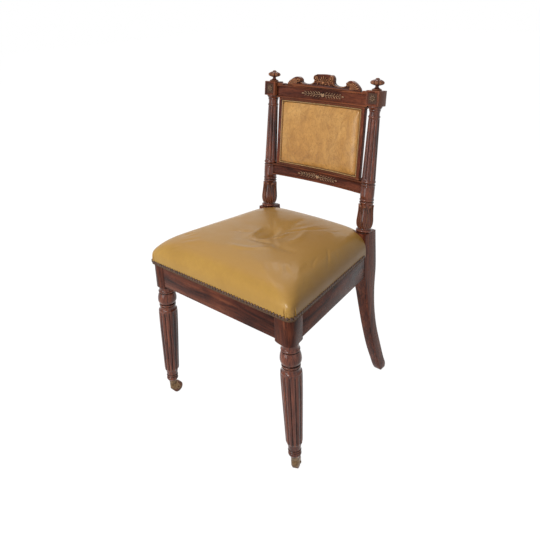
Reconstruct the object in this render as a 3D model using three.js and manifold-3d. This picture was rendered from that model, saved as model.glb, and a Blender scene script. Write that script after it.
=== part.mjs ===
// A dining chair: stuffed leather seat, leather back panel between reeded columns with a
// carved cresting over it, sabre rear legs, turned and reeded front legs on brass castors.
// Millimetres. +X is the right of someone facing the chair, +Y runs to its back, +Z is up.
import * as THREE from "three";
import { mergeVertices, toCreasedNormals } from "three/addons/utils/BufferGeometryUtils.js";
import Module from "manifold-3d";

const wasm = await Module();
wasm.setup();

// Overall sizes, square to the seat frame. The chair then tips back by the slope of its seat.
const chairHeight = 880; // floor to the tips of the finials
const plinthTop = 488; // floor to the top of the square part of the rear stiles
const seatFrameTop = 452; // top edges of the rails, under the upholstery
const seatFrameBottom = 368.4; // lower edges of the front and rear rails
const nailLine = 430; // where the leather of the seat ends on the rails
const seatFrameDepth = 370; // front of the leg blocks to the front of the rear stiles
const backRake = THREE.MathUtils.degToRad(6); // how far the back leans
const seatSlope = THREE.MathUtils.degToRad(1.05); // how far the seat slopes down to the back

// Clearances and shared finishing sizes
const gap = 0.3; // between pieces that touch
const cutOver = 2; // how far a cutting form runs past the face it cuts
const weld = 1e-4;
const crease = THREE.MathUtils.degToRad(32);

// Front legs
const frontLegSpan = 432; // between the axes of the blocks
const blockWidth = 48;
const blockCorner = 24; // radius of the outer front corner
const blockDrop = 10.4; // how far the blocks reach below the rails
const shoulderHeight = 13; // height of the turned shoulder at the foot of a block
const legDiameter = 51.8; // widest part of the reeded shaft
const legNeckDiameter = 42; // under the block
const legLeanShare = 0.039; // outward lean of the turned part, by its height
const legForwardShare = 0.015; // forward lean of the turned part, by its height
const legReeds = 12;
const reedDepth = 3;
const grooveShape = 2.2; // power of the curve between two reeds

// Height share from the castor rim to the block, diameter share, reed depth share.
const legProfileShares = [
  [0, 0.55, 0], [0.014, 0.645, 0], [0.04, 0.6, 0], [0.048, 0.62, 0], [0.116, 0.65, 0], [0.126, 0.78, 0.6],
  [0.141, 0.79, 1], [0.464, 0.92, 1], [0.697, 1, 1], [0.715, 1, 0.3], [0.727, 0.985, 0],
  [0.757, 0.945, 0], [0.776, 0.86, 0], [0.793, 0.79, 0], [0.804, 0.845, 0], [0.819, 0.84, 0],
  [0.839, 0.9, 0], [0.865, 0.965, 0], [0.89, 0.95, 0], [0.912, 0.87, 0], [0.926, 0.81, 0],
  [0.945, 0.87, 0], [0.963, 0.81, 0],
];

// Rear stiles: sabre leg, square plinth, turned column and die from one length of wood
const stileSpan = 334; // between the axes of the columns
const stileWidth = 40;
const stileChamfer = 1.5;
const legSweep = 116; // how far back the heel of the foot reaches from the stile's front
const rearLegSplay = 14; // outward reach of the rear foot
const splayStart = 0.76; // height share of the plinth top where the splay starts
const splayCurve = 1.6;
const columnSetback = 23; // column axis behind the front of the plinth
const bulbDiameter = 41; // widest part of the column
const columnReeds = 8;
const columnReedDepth = 2.6;
const columnRoot = 8; // the column's start inside the plinth
const dieWidth = 37;
const dieHeight = 38.4;
const diePanelShare = 0.66; // sunk panel on the front of the die
const diePanelDepth = 1.6;

// Height share of the plinth top, then front and back as shares of the sweep, then width share.
const sabreShares = [
  [0, 0.98, 1.06, 0.38], [0.006, 0.925, 1.09, 0.49], [0.015, 0.88, 1.105, 0.57], [0.045, 0.815, 1.1, 0.62],
  [0.1, 0.73, 1.005, 0.65],
  [0.22, 0.55, 0.84, 0.7], [0.36, 0.39, 0.66, 0.74], [0.495, 0.27, 0.545, 0.82], [0.62, 0.17, 0.495, 0.92],
  [0.7, 0.08, 0.495, 0.98], [0.765, 0.005, 0.505, 1], [0.85, 0, 0.485, 1], [0.93, 0, 0.455, 1], [1, 0, 0.432, 1],
];

// Height share of the column, diameter share of the bulb, reed depth share.
const columnProfileShares = [
  [0, 0.93, 0], [0.008, 1.05, 0], [0.02, 1.01, 0], [0.03, 0.85, 0], [0.05, 0.95, 0],
  [0.08, 1, 0], [0.12, 0.95, 0], [0.17, 0.87, 0], [0.2, 0.84, 0], [0.237, 0.85, 0],
  [0.243, 0.93, 0], [0.284, 0.93, 0], [0.29, 0.892, 0], [0.382, 0.892, 0], [0.388, 0.93, 0],
  [0.427, 0.93, 0], [0.431, 0.86, 0], [0.446, 0.84, 1], [0.9, 0.69, 1], [0.913, 0.67, 0],
  [0.918, 0.745, 0], [0.93, 0.74, 0], [0.937, 0.66, 0], [0.96, 0.69, 0], [0.99, 0.86, 0],
  [1, 0.865, 0],
];

// Finials
const finialHeight = 30;
const finialDiameter = 35;
const finialLobes = 8;
const finialLobeDepth = 2;
const pegDiameter = 9; // turned peg under the finial
const pegLength = 11;

// Height share of the finial, radius share, lobe depth share.
const finialProfileShares = [
  [0, 0.7, 0], [0.05, 0.74, 0], [0.16, 0.56, 0], [0.28, 0.28, 0], [0.41, 0.28, 0], [0.5, 0.72, 0.8],
  [0.6, 0.97, 1], [0.74, 1, 1], [0.84, 0.76, 0.7], [0.9, 0.33, 0], [1, 0.08, 0],
];

// Seat rails and joints
const railThickness = 26;
const sideRailDrop = 4; // how far the side rails reach below the other rails
const railSetback = 0.6; // rail faces behind the faces of the blocks
const rearRailThickness = 24;
const rearRailInset = 16; // rear rail behind the front of the stiles
const tenonLength = 18;
const tenonThickness = 9;
const tenonShoulder = 9; // wood left above and below a tenon
const braceHeight = 30;
const braceDrop = 12; // braces below the top of the rails
const braceReach = 42; // how far a front brace runs out from the leg along a rail
const braceWidth = 26;

// Webbing and base cloth
const strapWidth = 48;
const strapThickness = 1.6;
const strapsAlong = 4;
const strapsAcross = 3;
const strapLap = 16; // how far a strap lies on the rail
const clothThickness = 1;
const clothInset = 7;

// Seat upholstery
const leatherThickness = 1.8;
const stuffingGap = 1.4; // stuffing behind its leather
const ringRounding = 0.4; // how fast the corners of an upholstered form round, by the inset
const fullestCorner = 0.8; // largest corner radius, as a share of half the form
const seatRise = 69; // nail line to the crown
const seatRoll = 42; // width of the rolled edge
const seatHem = 2; // leather below the nail line
const seatBackLift = 7.5; // how much fuller the front and back edges are in their middle
const seatSideLift = 2.8; // how much fuller the side edges are in their middle
const seatDimple = 7;
const seatDimpleRadius = 62;
const seatCornerRadius = 21;
const seatCornerGrowth = 0.7; // how fast the corners round above the blocks, by the height

// Inset share of the roll, height share of the rise.
const seatProfileShares = [
  [-0.05, 0], [-0.06, 0.1], [-0.064, 0.22], [-0.045, 0.36], [0.025, 0.5], [0.16, 0.625],
  [0.345, 0.745], [0.6, 0.845], [1, 0.92], [1.7, 0.97], [2.7, 0.995], [3.8, 1],
];

// Back frame, measured along the rake from the plinth top
const backSag = 13; // how far the middle of the back is set behind its ends
const topRailDrop = 3.8; // lower edge of the top rail below the dies
const topRailHeight = 34.5;
const lowRailShare = 0.307; // lower edge of the low rail, by the length of the column
const lowRailHeight = 32;
const lipHeight = 6; // narrow step of the rails round the panel
const lipSetback = 2;
const backRailFront = 9; // rail faces in front of the column axis
const backRailThickness = 20;
const panelSink = 2; // sunk panels of the two rails
const panelMargin = 6;
const panelEnd = 12; // sunk panels stop before the ends of the rails
const innerStileInset = 26.5; // outer faces of the inner stiles, inside the column axes
const innerStileWidth = 9.5;
const innerStileThickness = 14;
const railShoulderLength = 19;
const railShoulderHeight = 4.5;
const leastRise = 0.05; // a shoulder's start, as a share of its height
const backTenonLength = 12;
const backTenonThickness = 8;
const backTenonHeight = 16;

// Cresting
const crestHeight = 36;
const crestInset = 29.5; // ends of the cresting, inside the dies
const crestThickness = 13;
const voluteRadius = 8;
const scrollRadius = 6;
const voluteRelief = 2.5;
const voluteTaper = 0.8;

// Half outline from the middle to the end: shares of the half width and of the height.
const crestBlockShares = [
  [0, 1], [0.07, 0.99], [0.13, 0.97], [0.19, 0.97], [0.238, 0.86], [0.263, 0.68], [0.26, 0.5], [0.28, 0.37],
];
const crestSweepShares = [[0.28, 0.37], [0.34, 0.26], [0.45, 0.215], [0.56, 0.25], [0.618, 0.33]];
const crestScrollShares = [
  [0.618, 0.33], [0.624, 0.48], [0.66, 0.62], [0.72, 0.69], [0.78, 0.66], [0.85, 0.55], [0.93, 0.36],
  [0.98, 0.17], [1, 0],
];
const voluteShares = [0.2, 0.69];
const scrollShares = [0.69, 0.47];

// Back panel upholstery
const padEdge = 11; // depth of the pad's edge in front of its canvas
const padCrown = 8; // how far the middle swells beyond the edge
const padCorner = 5;
const padRollShare = 0.29; // width over which the pad swells, by half the height of the opening
const canvasSetback = 4; // canvas behind the column axis
const backCoverSetback = 5.4;

// Inset share of the pad's roll, depth share of the crown.
const padProfileShares = [[0.03, 0.12], [0.12, 0.3], [0.35, 0.56], [0.8, 0.78], [1.6, 0.93], [2.6, 1]];

// Castors
const castorHeight = 48.5; // floor to the rim of the cup
const cupHeight = 12.6;
const cupTopRadius = 11;
const cupFootRadius = 9.8;
const cupWall = 1.6;
const cupFloor = 2.4;
const cupBead = 0.9;
const wheelRadius = 16;
const wheelWidth = 15;
const wheelRound = 1.2;
const castorTrail = 11.5; // axle behind the swivel axis
const hornWidth = 20.4;
const hornGap = 0.6; // horn to wheel, on each side
const crownThickness = 3.2;
const apronFoot = 17; // floor to the lower edge of the horn's front
const apronRadius = 8.6; // horn's front at that edge, from the swivel axis
const hornBossRadius = 5.5;
const axleRadius = 2.2;
const pinRadius = 3;
const rivetRadius = 4.2;
const rivetThickness = 1.2;
const swivelGap = 0.5; // cup to horn
const castorTurns = { left: THREE.MathUtils.degToRad(0), right: THREE.MathUtils.degToRad(24) };

// Facets
const legFacets = 3 * legReeds;
const columnFacets = 3 * columnReeds;
const smallFacets = 20;
const wheelFacets = 30;
const hornSegments = 5;
const bendStations = 10;
const innerStileStations = 3;
const rodFacets = 16;
const voluteFacets = 14;
const sweepSteps = 8;
const scrollSteps = 14;
const shoulderSteps = 5;

// Levels and lines that follow from the sizes
const blockBottom = seatFrameBottom - blockDrop;
const blockFront = -blockWidth / 2;
const stileFront = blockFront + seatFrameDepth;
const frontCornerX = frontLegSpan / 2 + blockWidth / 2;
const stileOuterX = stileSpan / 2 + stileWidth / 2;
const stileInnerX = stileSpan / 2 - stileWidth / 2;
const sideSlope = (stileOuterX - frontCornerX) / seatFrameDepth;
const sideStretch = Math.hypot(1, sideSlope); // width along X of a unit across the side
const sideFaceX = (y) => frontCornerX + (y - blockFront) * sideSlope;
const rearRailFront = stileFront + rearRailInset;
const rearRailBack = rearRailFront + rearRailThickness;
const seatMiddle = new THREE.Vector2(0, (blockFront + rearRailBack) / 2);
const floorAt = (y) => y * Math.tan(seatSlope); // the floor, from the front castors back
const legDrop = (z) => blockBottom - Math.max(z, castorHeight);
const legAxis = (z) => [frontLegSpan / 2 + legLeanShare * legDrop(z), -legForwardShare * legDrop(z)];

// The back has a frame of its own: x across, v backwards and w up along the column axis.
const backLength = (chairHeight - plinthTop) / Math.cos(backRake);
const columnLength = backLength - finialHeight - dieHeight;
const backMatrix = new THREE.Matrix4()
  .makeTranslation(0, stileFront + columnSetback, plinthTop)
  .multiply(new THREE.Matrix4().makeRotationX(-backRake));
const dieInnerX = stileSpan / 2 - dieWidth / 2;
const bend = (x) => backSag * (1 - (x / dieInnerX) ** 2);
const topRailLow = columnLength - topRailDrop;
const lowRailLow = lowRailShare * columnLength;
const openingLow = lowRailLow + lowRailHeight + lipHeight;
const openingHigh = topRailLow - lipHeight;
const padRoll = (padRollShare * (openingHigh - openingLow)) / 2;
const crestHalfWidth = dieInnerX - crestInset;
const innerStileOuterX = stileSpan / 2 - innerStileInset;
const openingHalf = innerStileOuterX - innerStileWidth; // half the width between the inner stiles

// Materials
const finish = (color, roughness, metalness = 0) =>
  new THREE.MeshStandardMaterial({ color, roughness, metalness });
const rosewood = finish(0x55281d, 0.35);
const beech = finish(0xa98258, 0.7);
const seatHide = finish(0xb58d4d, 0.4);
const backHide = finish(0xbd8a48, 0.35);
const horsehair = finish(0x4a3a2c, 0.95);
const hessian = finish(0xa08a63, 0.95);
const jute = finish(0x8f7a55, 0.95);
const brass = finish(0x8f7040, 0.4, 0.9);

// Closed skins and solids

// Turns the faces of a closed skin outwards.
function facingOut(points, faces) {
  let volume = 0;
  for (let i = 0; i < faces.length; i += 3) {
    const [a, b, c] = [faces[i], faces[i + 1], faces[i + 2]].map((k) => points[k]);
    volume += a.dot(new THREE.Vector3().crossVectors(b, c));
  }
  if (volume > 0) return faces;
  return faces.map((_, i) => faces[i - (i % 3) + (2 - (i % 3))]);
}

function skin(points, faces) {
  return new THREE.BufferGeometry().setFromPoints(points).setIndex(facingOut(points, faces));
}

function middleOf(points) {
  const sum = points.reduce((total, p) => total.add(p), new THREE.Vector3());
  return sum.divideScalar(points.length);
}

// Joins rings with the same number of points, in order, and closes both ends.
function loft(rings) {
  const count = rings[0].length;
  const points = rings.flat();
  const faces = [];
  for (let r = 0; r < rings.length - 1; r++)
    for (let i = 0; i < count; i++) {
      const [a, b] = [r * count + i, r * count + ((i + 1) % count)];
      faces.push(a, b, b + count, a, b + count, a + count);
    }
  const [first, last] = [points.length, points.length + 1];
  const lastRing = (rings.length - 1) * count;
  points.push(middleOf(rings[0]), middleOf(rings[rings.length - 1]));
  for (let i = 0; i < count; i++) {
    const next = (i + 1) % count;
    faces.push(first, next, i, last, lastRing + i, lastRing + next);
  }
  return skin(points, faces);
}

function solid(geometry, matrix) {
  const bare = geometry.index ? geometry.toNonIndexed() : geometry.clone();
  bare.deleteAttribute("normal");
  bare.deleteAttribute("uv");
  if (matrix) bare.applyMatrix4(matrix);
  const merged = mergeVertices(bare, weld);
  const vertProperties = merged.attributes.position.array;
  const triVerts = new Uint32Array(merged.index.array);
  return new wasm.Manifold(new wasm.Mesh({ numProp: 3, vertProperties, triVerts }));
}

function geometryOf(body) {
  const mesh = body.getMesh();
  const geometry = new THREE.BufferGeometry();
  geometry.setAttribute("position", new THREE.BufferAttribute(mesh.vertProperties, 3));
  geometry.setIndex(new THREE.BufferAttribute(mesh.triVerts, 1));
  return toCreasedNormals(geometry, crease);
}

function box(x, y, z) {
  const size = [x, y, z].map(([low, high]) => high - low);
  const middle = [x, y, z].map(([low, high]) => (low + high) / 2);
  return solid(new THREE.BoxGeometry(...size).translate(...middle));
}

// A flat outline in plan, drawn up from one height to another.
function prism(points, low, high) {
  const shape = new THREE.Shape(points.map(([x, y]) => new THREE.Vector2(x, y)));
  const geometry = new THREE.ExtrudeGeometry(shape, { depth: high - low, bevelEnabled: false });
  return solid(geometry.translate(0, 0, low));
}

// A cylinder along Z.
function rod(radius, low, high, x = 0, y = 0, facets = rodFacets) {
  const geometry = new THREE.CylinderGeometry(radius, radius, high - low, facets);
  return solid(geometry.rotateX(Math.PI / 2).translate(x, y, (low + high) / 2));
}

// A turned form: rows of height, radius and reed depth go round an axis that may lean.
function turned(rows, facets, reeds, axisAt = () => [0, 0]) {
  const groove = (turn) => Math.abs(2 * (turn - Math.floor(turn)) - 1) ** grooveShape;
  const ringOf = ([height, radius, depth = 0]) => {
    const [x, y] = axisAt(height);
    return Array.from({ length: facets }, (_, i) => {
      const reach = radius - depth * groove((i * reeds) / facets);
      const angle = (i / facets) * 2 * Math.PI;
      return new THREE.Vector3(x + reach * Math.cos(angle), y + reach * Math.sin(angle), height);
    });
  };
  return loft(rows.map(ringOf));
}

const mirrored = (body) => body.mirror([1, 0, 0]);
const inBack = (geometry) => solid(geometry, backMatrix);

// Meshes are collected in one group, both sides of a pair from the same solid.
const chair = new THREE.Group();

function place(name, body, material) {
  const mesh = new THREE.Mesh(geometryOf(body), material);
  mesh.name = name;
  chair.add(mesh);
}

// Everything but the castors tips back with the slope of the seat.
function add(name, body, material) {
  place(name, body.rotate([-THREE.MathUtils.radToDeg(seatSlope), 0, 0]), material);
}

function addPair(name, body, material) {
  add(name + "_right", body, material);
  add(name + "_left", mirrored(body), material);
}

// Seat frame joints

// The run of a side rail in plan: a strip inside the side face, between two lines of y.
function sideStrip(yLow, yHigh, fromFace, width) {
  const x = (y, inwards) => sideFaceX(y) - inwards * sideStretch;
  return [
    [x(yLow, fromFace + width), yLow], [x(yLow, fromFace), yLow],
    [x(yHigh, fromFace), yHigh], [x(yHigh, fromFace + width), yHigh],
  ];
}

// Tenons are drawn a little longer and wider to cut their mortises.
function sideTenon(atFront, grow) {
  const shoulder = atFront ? blockWidth / 2 : stileFront;
  const away = atFront ? -1 : 1;
  const ends = [shoulder - away * cutOver, shoulder + away * (tenonLength + grow)];
  const cheek = railSetback + (railThickness - tenonThickness) / 2 - grow;
  const strip = sideStrip(Math.min(...ends), Math.max(...ends), cheek, tenonThickness + 2 * grow);
  return prism(strip, seatFrameBottom + tenonShoulder - grow, seatFrameTop - tenonShoulder + grow);
}

function crossTenon(innerX, railFront, thickness, grow) {
  const cheek = railFront + (thickness - tenonThickness) / 2;
  return box(
    [innerX - cutOver, innerX + tenonLength + grow],
    [cheek - grow, cheek + tenonThickness + grow],
    [seatFrameBottom + tenonShoulder - grow, seatFrameTop - tenonShoulder + grow],
  );
}

const blockInnerX = frontLegSpan / 2 - blockWidth / 2;
const frontRailFront = blockFront + railSetback;
const frontTenon = (grow) => crossTenon(blockInnerX, frontRailFront, railThickness, grow);
const rearTenon = (grow) => crossTenon(stileInnerX, rearRailFront, rearRailThickness, grow);

// Front legs

// The square block in plan, its outer face in line with the side rail.
function blockPlan() {
  const back = blockWidth / 2;
  const corner = new THREE.Vector2(frontCornerX, blockFront);
  const before = corner.clone().setX(frontCornerX - blockCorner);
  const after = new THREE.Vector2(sideFaceX(blockFront + blockCorner), blockFront + blockCorner);
  const arc = new THREE.QuadraticBezierCurve(before, corner, after).getPoints(5);
  return [[blockInnerX, blockFront], ...arc.map((p) => [p.x, p.y]), [sideFaceX(back), back], [blockInnerX, back]];
}

// The lathe leaves a rounded shoulder at the foot of the square block.
function blockShoulder() {
  const reach = blockWidth * Math.SQRT1_2 + cutOver;
  const neck = legNeckDiameter / 2;
  const rows = [[blockBottom - gap, neck]];
  for (let i = 0; i <= shoulderSteps; i++) {
    const turn = (i / shoulderSteps) * (Math.PI / 2);
    const radius = neck + (reach - neck) * Math.sin(turn);
    rows.push([blockBottom + shoulderHeight * (1 - Math.cos(turn)), radius]);
  }
  rows.push([seatFrameTop + cutOver, reach]);
  return solid(turned(rows, legFacets, 1)).translate([frontLegSpan / 2, 0, 0]);
}

// The turned part ends in a plug that seats in the castor cup.
function legTurning() {
  const length = blockBottom - castorHeight;
  const plugFoot = castorHeight - cupHeight + cupFloor + rivetThickness + 2 * gap;
  const plugRadius = (z) => {
    const share = (z - (castorHeight - cupHeight)) / cupHeight;
    return THREE.MathUtils.lerp(cupFootRadius, cupTopRadius, share) - cupWall - 2 * gap;
  };
  const rows = [[plugFoot, plugRadius(plugFoot)], [castorHeight + gap, plugRadius(castorHeight)]];
  for (const [height, diameter, depth] of legProfileShares) {
    const z = castorHeight + 2 * gap + height * length;
    rows.push([z, (diameter * legDiameter) / 2, depth * reedDepth]);
  }
  rows.push([blockBottom + cutOver, legNeckDiameter / 2]);
  return solid(turned(rows, legFacets, legReeds, legAxis));
}

function frontLeg() {
  const block = prism(blockPlan(), blockBottom - shoulderHeight, seatFrameTop).intersect(blockShoulder());
  return block.add(legTurning()).subtract(frontTenon(gap)).subtract(sideTenon(true, gap));
}

// Rear stiles

// The sabre leg and the square plinth, as sections up the height.
function sabreLeg() {
  const outwards = (share) => stileSpan / 2 + rearLegSplay * (1 - Math.min(share / splayStart, 1)) ** splayCurve;
  const section = ([height, front, back, width]) => {
    const [yLow, yHigh] = [stileFront + front * legSweep, stileFront + back * legSweep];
    const half = (width * stileWidth) / 2;
    const x = outwards(height);
    const c = stileChamfer;
    return [
      [x - half + c, yLow], [x + half - c, yLow], [x + half, yLow + c], [x + half, yHigh - c],
      [x + half - c, yHigh], [x - half + c, yHigh], [x - half, yHigh - c], [x - half, yLow + c],
    ].map(([px, py]) => new THREE.Vector3(px, py, THREE.MathUtils.lerp(floorAt(py), plinthTop, height)));
  };
  return solid(loft(sabreShares.map(section)));
}

// The column with a skin of clearance round it cuts the ends of the back rails.
function columnRows(grow) {
  const rows = columnProfileShares.map(([height, diameter, depth]) => [
    height * columnLength, (diameter * bulbDiameter) / 2 + grow, depth * columnReedDepth,
  ]);
  return [[-columnRoot, rows[0][1]], ...rows, [columnLength + cutOver, rows[rows.length - 1][1]]];
}

function column(grow = 0) {
  const reedDepths = grow ? 0 : 1;
  const rows = columnRows(grow).map(([w, radius, depth = 0]) => [w, radius, depth * reedDepths]);
  return turned(rows, columnFacets, columnReeds).translate(stileSpan / 2, 0, 0);
}

const backBox = (x, v, w) => box(x, v, w).transform(backMatrix.elements.slice());

function die() {
  const half = dieWidth / 2;
  const [low, high] = [columnLength, columnLength + dieHeight];
  const panel = (dieWidth * diePanelShare) / 2;
  const middle = (low + high) / 2;
  const x = stileSpan / 2;
  const block = backBox([x - half, x + half], [-half, half], [low, high]);
  const depth = [-half - cutOver, -half + diePanelDepth];
  const sunk = backBox([x - panel, x + panel], depth, [middle - panel, middle + panel]);
  return block.subtract(sunk);
}

const pegHole = () => rod(pegDiameter / 2 + gap, columnLength + dieHeight - pegLength - gap,
  columnLength + dieHeight + cutOver, stileSpan / 2, 0).transform(backMatrix.elements.slice());

// Tenons of the two back rails
const railAxisV = (backRailThickness / 2) - backRailFront;

function backTenon(innerX, low, grow) {
  const half = backTenonThickness / 2 + grow;
  return backBox(
    [innerX - cutOver, innerX + backTenonLength + grow],
    [railAxisV - half, railAxisV + half],
    [low - grow, low + backTenonHeight + grow],
  );
}

const bandRadius = (0.892 * bulbDiameter) / 2;
const topTenon = (grow) => backTenon(dieInnerX, columnLength + cutOver, grow);
const lowTenon = (grow) =>
  backTenon(stileSpan / 2 - bandRadius, lowRailLow + (lowRailHeight - backTenonHeight) / 2, grow);

function rearStile() {
  return [rearTenon(gap), sideTenon(false, gap), topTenon(gap), lowTenon(gap), pegHole()]
    .reduce((body, cut) => body.subtract(cut), sabreLeg().add(inBack(column())).add(die()));
}

function finial() {
  const base = columnLength + dieHeight;
  const peg = pegDiameter / 2;
  const rows = [[base - pegLength, peg], [base + gap, peg]];
  for (const [height, radius, depth] of finialProfileShares) {
    const level = base + gap + height * (finialHeight - gap);
    rows.push([level, (radius * finialDiameter) / 2, depth * finialLobeDepth]);
  }
  return inBack(turned(rows, columnFacets, finialLobes).translate(stileSpan / 2, 0, 0));
}

// Seat frame

function frontRail() {
  const bar = box(
    [-blockInnerX + gap, blockInnerX - gap],
    [frontRailFront, frontRailFront + railThickness],
    [seatFrameBottom, seatFrameTop],
  );
  return bar.add(frontTenon(0)).add(mirrored(frontTenon(0)));
}

function rearRail() {
  const bar = box(
    [-stileInnerX + gap, stileInnerX - gap],
    [rearRailFront, rearRailBack],
    [seatFrameBottom, seatFrameTop],
  );
  return bar.add(rearTenon(0)).add(mirrored(rearTenon(0)));
}

function sideRail() {
  const strip = sideStrip(blockWidth / 2 + gap, stileFront - gap, railSetback, railThickness);
  const bar = prism(strip, seatFrameBottom - sideRailDrop, seatFrameTop);
  return bar.add(sideTenon(true, 0)).add(sideTenon(false, 0));
}

// Braces glued across the inner corners of the frame
const sideInnerX = (y) => sideFaceX(y) - (railSetback + railThickness + gap) * sideStretch;

function brace(railY, nearX, sideY, away) {
  const inwardX = nearX - braceWidth;
  const onSide = [sideY, sideY + away * braceWidth];
  const plan = [[inwardX, railY], [nearX, railY], ...onSide.map((y) => [sideInnerX(y), y])];
  const top = seatFrameTop - braceDrop;
  return prism(away > 0 ? plan : plan.reverse(), top - braceHeight, top);
}

const frontBrace = () =>
  brace(frontRailFront + railThickness + gap, blockInnerX - braceReach / 2, blockWidth / 2 + braceReach, 1);
const rearBrace = () => brace(rearRailFront - gap, stileInnerX - braceReach / 2, stileFront - braceReach, -1);

// Webbing: straps woven over and under each other, tacked on top of the rails

const weaveRise = (strapThickness + gap) / 2;
const strapLevel = seatFrameTop + gap + strapThickness / 2 + weaveRise;

// A strap's wave along its length, flat where it crosses each of the others.
function strapWave(start, end, crossings, overFirst) {
  const flat = strapWidth / 2 + 2 * gap;
  const points = [[start, -weaveRise]];
  crossings.forEach((at, i) => {
    const side = (i % 2 === 0) === overFirst ? weaveRise : -weaveRise;
    points.push([at - flat, side], [at + flat, side]);
  });
  points.push([end, -weaveRise]);
  return points;
}

function strap(wave, across, alongY) {
  const half = strapThickness / 2;
  const upper = wave.map(([s, z]) => [s, z + half]);
  const lower = wave.map(([s, z]) => [s, z - half]).reverse();
  const shape = new THREE.Shape([...upper, ...lower].map(([s, z]) => new THREE.Vector2(s, z)));
  const geometry = new THREE.ExtrudeGeometry(shape, { depth: strapWidth, bevelEnabled: false });
  geometry.rotateX(Math.PI / 2).translate(0, strapWidth / 2, strapLevel);
  if (alongY) geometry.rotateZ(Math.PI / 2);
  return solid(alongY ? geometry.translate(across, 0, 0) : geometry.translate(0, across, 0));
}

function addWebbing() {
  const back = rearRailFront + strapLap;
  const front = frontRailFront + railThickness - strapLap;
  const spread = (count, low, high) =>
    Array.from({ length: count }, (_, i) => low + ((i + 1) * (high - low)) / (count + 1));
  const crossAt = spread(strapsAcross, frontRailFront + railThickness, rearRailFront);
  const narrow = sideInnerX(rearRailFront);
  const alongAt = spread(strapsAlong, -narrow, narrow);
  alongAt.forEach((x, i) => {
    add("webbing_along_" + (i + 1), strap(strapWave(front, back, crossAt, i % 2 === 0), x, true), jute);
  });
  crossAt.forEach((y, i) => {
    const reach = sideInnerX(y + strapWidth / 2) + strapLap;
    add("webbing_across_" + (i + 1), strap(strapWave(-reach, reach, alongAt, i % 2 === 1), y, false), jute);
  });
}

// Seat upholstery

// The outline of the seat in plan at an inset, with its corners rounded.
function seatOutline(inset, height = 0, perSide = 8, perCorner = 3) {
  const [low, high] = [blockFront + inset, rearRailBack - inset];
  const above = Math.max(nailLine + height - seatFrameTop, 0);
  const grown = seatCornerRadius + Math.max(inset, 0) * ringRounding + above * seatCornerGrowth;
  const radius = Math.min(grown, ((high - low) / 2) * fullestCorner);
  const halfAt = (y) => sideFaceX(y) - inset * sideStretch;
  const corners = [[-halfAt(low), low], [halfAt(low), low], [halfAt(high), high], [-halfAt(high), high]]
    .map(([x, y]) => new THREE.Vector2(x, y));
  const points = [];
  corners.forEach((corner, i) => {
    const [last, next] = [corners[(i + 3) % 4], corners[(i + 1) % 4]];
    const before = corner.clone().add(last.clone().sub(corner).setLength(radius));
    const after = corner.clone().add(next.clone().sub(corner).setLength(radius));
    const end = next.clone().add(corner.clone().sub(next).setLength(radius));
    points.push(...new THREE.QuadraticBezierCurve(before, corner, after).getPoints(perCorner));
    for (let k = 1; k < perSide; k++) points.push(after.clone().lerp(end, k / perSide));
  });
  return points;
}

// How much the edge swells at a point, none at the corners and most between them.
function edgeSwell(point) {
  const across = point.x / sideFaceX(point.y);
  const along = (point.y - seatMiddle.y) / (rearRailBack - seatMiddle.y);
  return seatBackLift * (1 - Math.min(across ** 2, 1)) + seatSideLift * (1 - Math.min(along ** 2, 1));
}

const dimple = (point) => seatDimple * Math.exp(-((point.distanceTo(seatMiddle) / seatDimpleRadius) ** 2));

// Rings from the hem to the crown, moved inwards by a thickness along their normals.
function seatRings(inwards, lowest, every = 1) {
  const rows = seatProfileShares.map(([inset, height]) => new THREE.Vector2(inset * seatRoll, height * seatRise));
  const moved = rows.map((row, i) => {
    const [before, after] = [rows[Math.max(i - 1, 0)], rows[Math.min(i + 1, rows.length - 1)]];
    const run = after.clone().sub(before).normalize();
    return row.clone().add(new THREE.Vector2(run.y, -run.x).multiplyScalar(inwards));
  });
  const top = seatRise;
  const ringAt = (inset, height) => seatOutline(inset, height).map((p) => {
    const share = height / top;
    return new THREE.Vector3(p.x, p.y, nailLine + height + share * (edgeSwell(p) - dimple(p)));
  });
  const kept = moved.filter((_, i) => i % every === 0 || i === moved.length - 1);
  const rings = kept.map((row) => ringAt(row.x, row.y));
  const foot = seatOutline(moved[0].x).map((p) => new THREE.Vector3(p.x, p.y, lowest));
  return [foot, ...rings];
}

// The rear stiles stand in notches of the upholstery.
function stileNotch(clearance) {
  const wide = [stileInnerX - clearance, frontCornerX + seatRoll];
  const notch = box(wide, [stileFront - clearance, rearRailBack + seatRoll], [0, chairHeight]);
  return notch.add(mirrored(notch));
}

function seatLeather() {
  const hem = nailLine - seatHem;
  const inside = seatRings(leatherThickness, hem).reverse();
  return solid(loft([...inside, ...seatRings(0, hem)])).subtract(stileNotch(gap));
}

const clothLevel = strapLevel + weaveRise + strapThickness / 2 + gap;

function seatStuffing() {
  const base = clothLevel + clothThickness + gap;
  const full = solid(loft(seatRings(leatherThickness + stuffingGap, nailLine, 2)));
  const above = box([-frontCornerX - seatRoll, frontCornerX + seatRoll],
    [blockFront - seatRoll, rearRailBack + seatRoll], [base, chairHeight]);
  return full.intersect(above).subtract(stileNotch(leatherThickness + gap));
}

function seatCloth() {
  const plan = seatOutline(clothInset, 0, 1, 1).map((p) => [p.x, p.y]);
  return prism(plan, clothLevel, clothLevel + clothThickness).subtract(stileNotch(leatherThickness + gap));
}

// Back frame, bent in plan

// A bar of rectangular section that follows the bend of the back.
function bentBar(x, v, w, stations = bendStations) {
  const rings = Array.from({ length: stations + 1 }, (_, i) => {
    const at = x[0] + (i / stations) * (x[1] - x[0]);
    const corners = [[v[0], w[0]], [v[1], w[0]], [v[1], w[1]], [v[0], w[1]]];
    return corners.map(([depth, height]) => new THREE.Vector3(at, depth + bend(at), height));
  });
  return inBack(loft(rings));
}

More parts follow.
